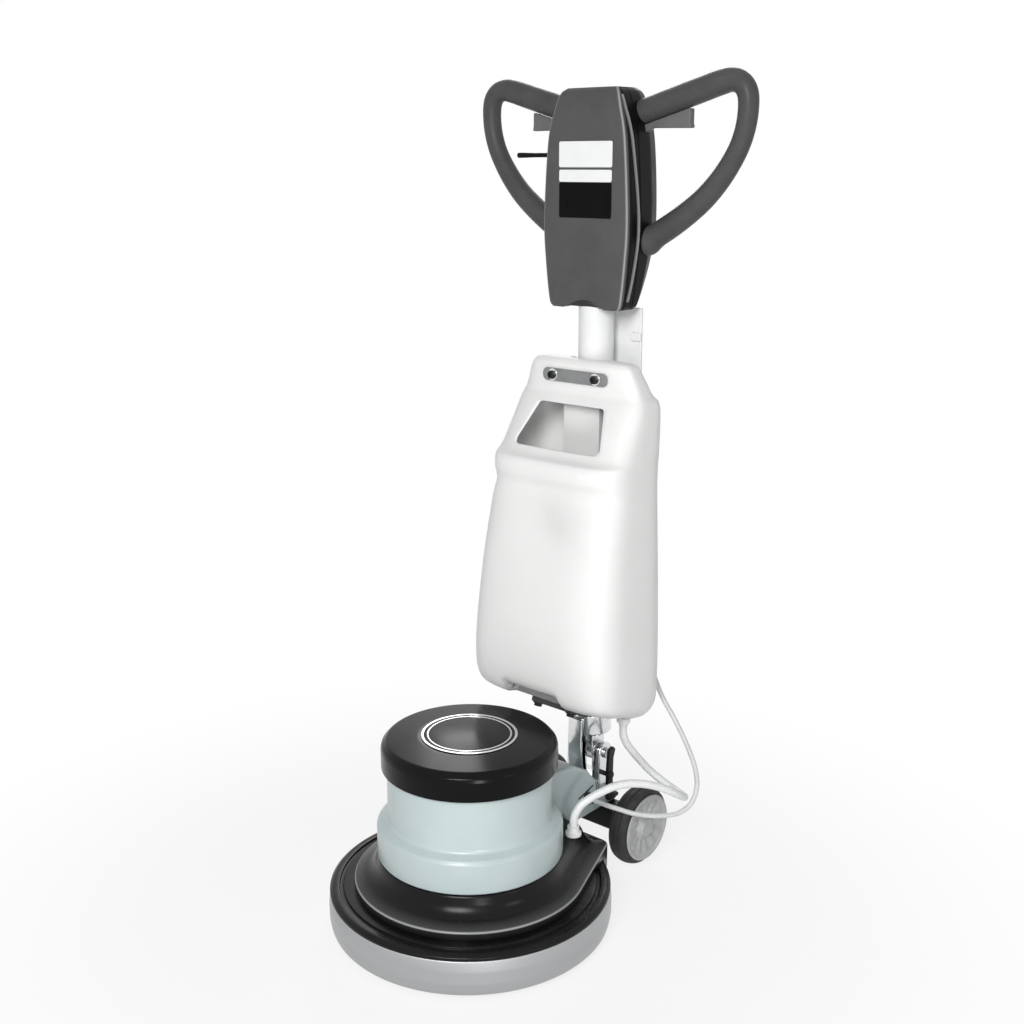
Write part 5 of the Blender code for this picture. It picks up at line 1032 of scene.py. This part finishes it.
def build_controls():
    """Label plates and cord gland on the console, the two loops with their triggers, and the water lever."""
    for name, low, high, half, material, stands_for in (
            ("label_upper", 1.1475, 1.1855, 0.0505, LABEL_WHITE, ()),
            ("label_strip", 1.1260, 1.1440, 0.0500, LABEL_WHITE, ()),
            ("label_lower", 1.0730, 1.1252, 0.0497, LABEL_BLACK, ("label_panel",))):
        outline = oblong(LABEL_X - half, LABEL_X + half, low, high, 0.0028)
        show(name, along_y(outline, *LABEL_Y, 0.0003), material, "handle", stands_for)
    low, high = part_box("mains_gland")
    gland = even(bent([
        (0, 0, 0), (0.014, 0, 0.0005), (0.014, 0.006, 0.0015), (0.010, 0.008, 0.002), (0.0085, 0.0255, 0.002),
        (0, 0.0255, 0)], 4), 60)
    ribbed = (gland[:, 1] > 0.010) & (np.sin(gland[:, 1] / GLAND_PITCH * 2 * math.pi) > 0.2)
    gland[:, 0] -= GLAND_RIB * ribbed
    tail = laid(turned(gland, 48), "xzy", (0, low.y, (low.z + high.z) / 2))
    show("cord_gland", skin(tail, caps=False), RUBBER, "handle", ("mains_gland",))

    (x1, z1), (x2, z2) = LOOP_PATH[1:3]
    slope = (z2 - z1) / (x2 - x1)
    below = LOOP_R * math.sqrt(1 + slope * slope) + 0.0012
    inner, outer, lower = PADDLE_IN_X, PADDLE_OUT_X, PADDLE_Z
    inner_top, outer_top = (z1 + slope * (x - x1) - below for x in (inner, outer))
    paddle = np.array([
        (inner, lower), (0.070, lower), (0.080, lower + 0.006), (outer + 0.002, lower + 0.005),
        (outer, lower + 0.012), (outer, outer_top), (inner, inner_top)])
    swell = flow(np.array(LOOP_SWELL)[:, None], 220)[:, 0]
    for name, sign in SIDES:
        route = flow([(sign * x, LOOP_Y, z) for x, z in LOOP_PATH], 220)
        flare = FLARE * bell(np.abs(route[:, 0]) - FLARE_X, FLARE_WIDTH) * (route[:, 2] < FLARE_BELOW_Z)
        loop = swept(route, LOOP_R * (swell + flare), 40, dome=False)
        show(f"grip_loop_{name}", skin(loop), GRIP_PP, "handle", (f"handle_loop_{name}",),
             60.0)
        outline = rounded(paddle * (sign, 1), 0.0022, 4, closed=True)
        show(f"squeeze_paddle_{name}", along_y(outline, LOOP_Y - PADDLE_HALF, LOOP_Y + PADDLE_HALF, 0.0016),
             GREY_NYLON, f"trigger_{name[0]}", (f"trigger_{name}",), 40.0)

    rod = turned(bent([
        (0, 0, 0), (0.0035, 0, 0.0005), (0.0035, 0.085, 0.01), (0.0042, 0.112, 0.01),
        (0.0042, 0.1205, 0.0015), (0, 0.1205, 0)], 5), 32)
    rod = laid(rod, "zyx") * (-1, 1, 1) + (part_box("water_lever")[1].x, ROD_Y, ROD_Z)
    show("water_rod", skin(rod, caps=False), BLACK_PP, "water", ("water_lever",))


build_pad()
build_deck()
build_motor()
build_neck()
build_hinge()
build_wheels()
build_shell()
build_fittings()
build_pole()
build_console()
build_controls()

# Finishes of the CAD pieces that show as they are
CAD_FINISHES = (
    (STEEL, ("planet_carrier", "planet_gear_1", "planet_gear_2", "planet_gear_3", "ring_gear", "motor_shaft",
             "output_bearing", "lower_bearing", "upper_bearing", "wheel_axle")),
    (CAST, ("drive_hub", "gearbox_case", "end_shield")), (COPPER, ("stator",)), (IRON, ("rotor",)),
    (DARK_NYLON, ("pad_driver", "cooling_fan", "switch_block")), (BLACK_PAINT, ("axle_bracket",)),
    (HDPE, ("hose_inlet",)), (RUBBER, ("lead_gland",)),
)
for cad_finish, names in CAD_FINISHES:
    for name in names:
        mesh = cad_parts[name].data
        mesh.materials.clear()
        mesh.materials.append(cad_finish)


# Studio

FLOOR_HALF, FLOOR_Z, FLOOR_GLOW, FLOOR_FADE = 30, -0.0005, (0.80, 1.0), (0.35, 1.1)
WORLD_LEVEL = (0.18, 1.0)     # as light on the part, and as seen
# Name, place, aim, size and watts
LAMPS = (
    ("key", (1.35, -2.5, 2.1), (0, 0.1, 0.6), 1.2, 80), ("right", (2.7, 0.1, 1.3), (0, 0.1, 0.4), 0.6, 4),
    ("low", (2.0, -1.45, 0.26), (0, 0, 0.05), 0.4, 9), ("rim", (-1.6, 2.2, 2.2), (0, 0.2, 0.7), 1.4, 24),
)


def seen_direct(tree):
    """One for what the camera sees itself, in a mirror or through glass, and zero for light on the part."""
    path = node(tree, "ShaderNodeLightPath", {}).outputs
    seen = path["Is Camera Ray"]
    for ray in ("Is Glossy Ray", "Is Transmission Ray"):
        seen = node(tree, "ShaderNodeMath", {0: seen, 1: path[ray]}, operation="MAXIMUM").outputs[0]
    return seen


def stage_material(name, colour):
    """A pale matt sheet that takes the shadow near the part, and glows evenly to the camera further out."""
    made = bpy.data.materials.new(name)
    made.use_nodes = True
    tree = made.node_tree
    out = tree.nodes["Material Output"]
    tree.nodes.remove(tree.nodes["Principled BSDF"])
    place = node(tree, "ShaderNodeTexCoord", {}).outputs["Object"]
    away = node(tree, "ShaderNodeVectorMath", {0: place}, operation="LENGTH").outputs["Value"]
    glow = node(tree, "ShaderNodeMapRange",
                {"Value": away, "From Min": FLOOR_FADE[0], "From Max": FLOOR_FADE[1],
                 "To Min": FLOOR_GLOW[0], "To Max": FLOOR_GLOW[1]}, interpolation_type="SMOOTHSTEP")
    matt = node(tree, "ShaderNodeBsdfDiffuse", {"Color": linear(colour)})
    shine = node(tree, "ShaderNodeEmission", {"Color": linear("#ffffff"), "Strength": 1.0})
    share = node(tree, "ShaderNodeMath", {0: seen_direct(tree), 1: glow.outputs["Result"]},
                 operation="MULTIPLY")
    mixed = node(tree, "ShaderNodeMixShader", {0: share.outputs[0], 1: matt.outputs[0], 2: shine.outputs[0]})
    tree.links.new(mixed.outputs[0], out.inputs["Surface"])
    return made


def make_studio():
    """Floor, white world and four soft lamps: in front, a weak fill on the right, a low one, one behind."""
    floor = bpy.data.meshes.new("studio_floor")
    corners = [(x * FLOOR_HALF, y * FLOOR_HALF, 0) for x, y in ((-1, -1), (1, -1), (1, 1), (-1, 1))]
    floor.from_pydata(corners, [], [(0, 1, 2, 3)])
    ground = bpy.data.objects.new("studio_floor", floor)
    ground.location.z = FLOOR_Z
    floor.materials.append(stage_material("pale_matt_floor", "#f4f4f4"))
    bpy.context.scene.collection.objects.link(ground)

    world = bpy.data.worlds.new("studio")
    bpy.context.scene.world = world
    world.use_nodes = True
    tree = world.node_tree
    back = tree.nodes["Background"]
    level = node(tree, "ShaderNodeMapRange",
                 {"Value": seen_direct(tree), "To Min": WORLD_LEVEL[0], "To Max": WORLD_LEVEL[1]})
    back.inputs["Color"].default_value = linear("#ffffff")
    tree.links.new(level.outputs["Result"], back.inputs["Strength"])

    for name, place, aim, size, power in LAMPS:
        lamp = bpy.data.lights.new(name, "AREA")
        lamp.size, lamp.energy = size, power
        light = bpy.data.objects.new(name, lamp)
        light.location = place
        light.rotation_euler = (Vector(aim) - Vector(place)).to_track_quat("-Z", "Y").to_euler()
        bpy.context.scene.collection.objects.link(light)


make_studio()
bpy.context.scene.view_settings.view_transform = "Standard"
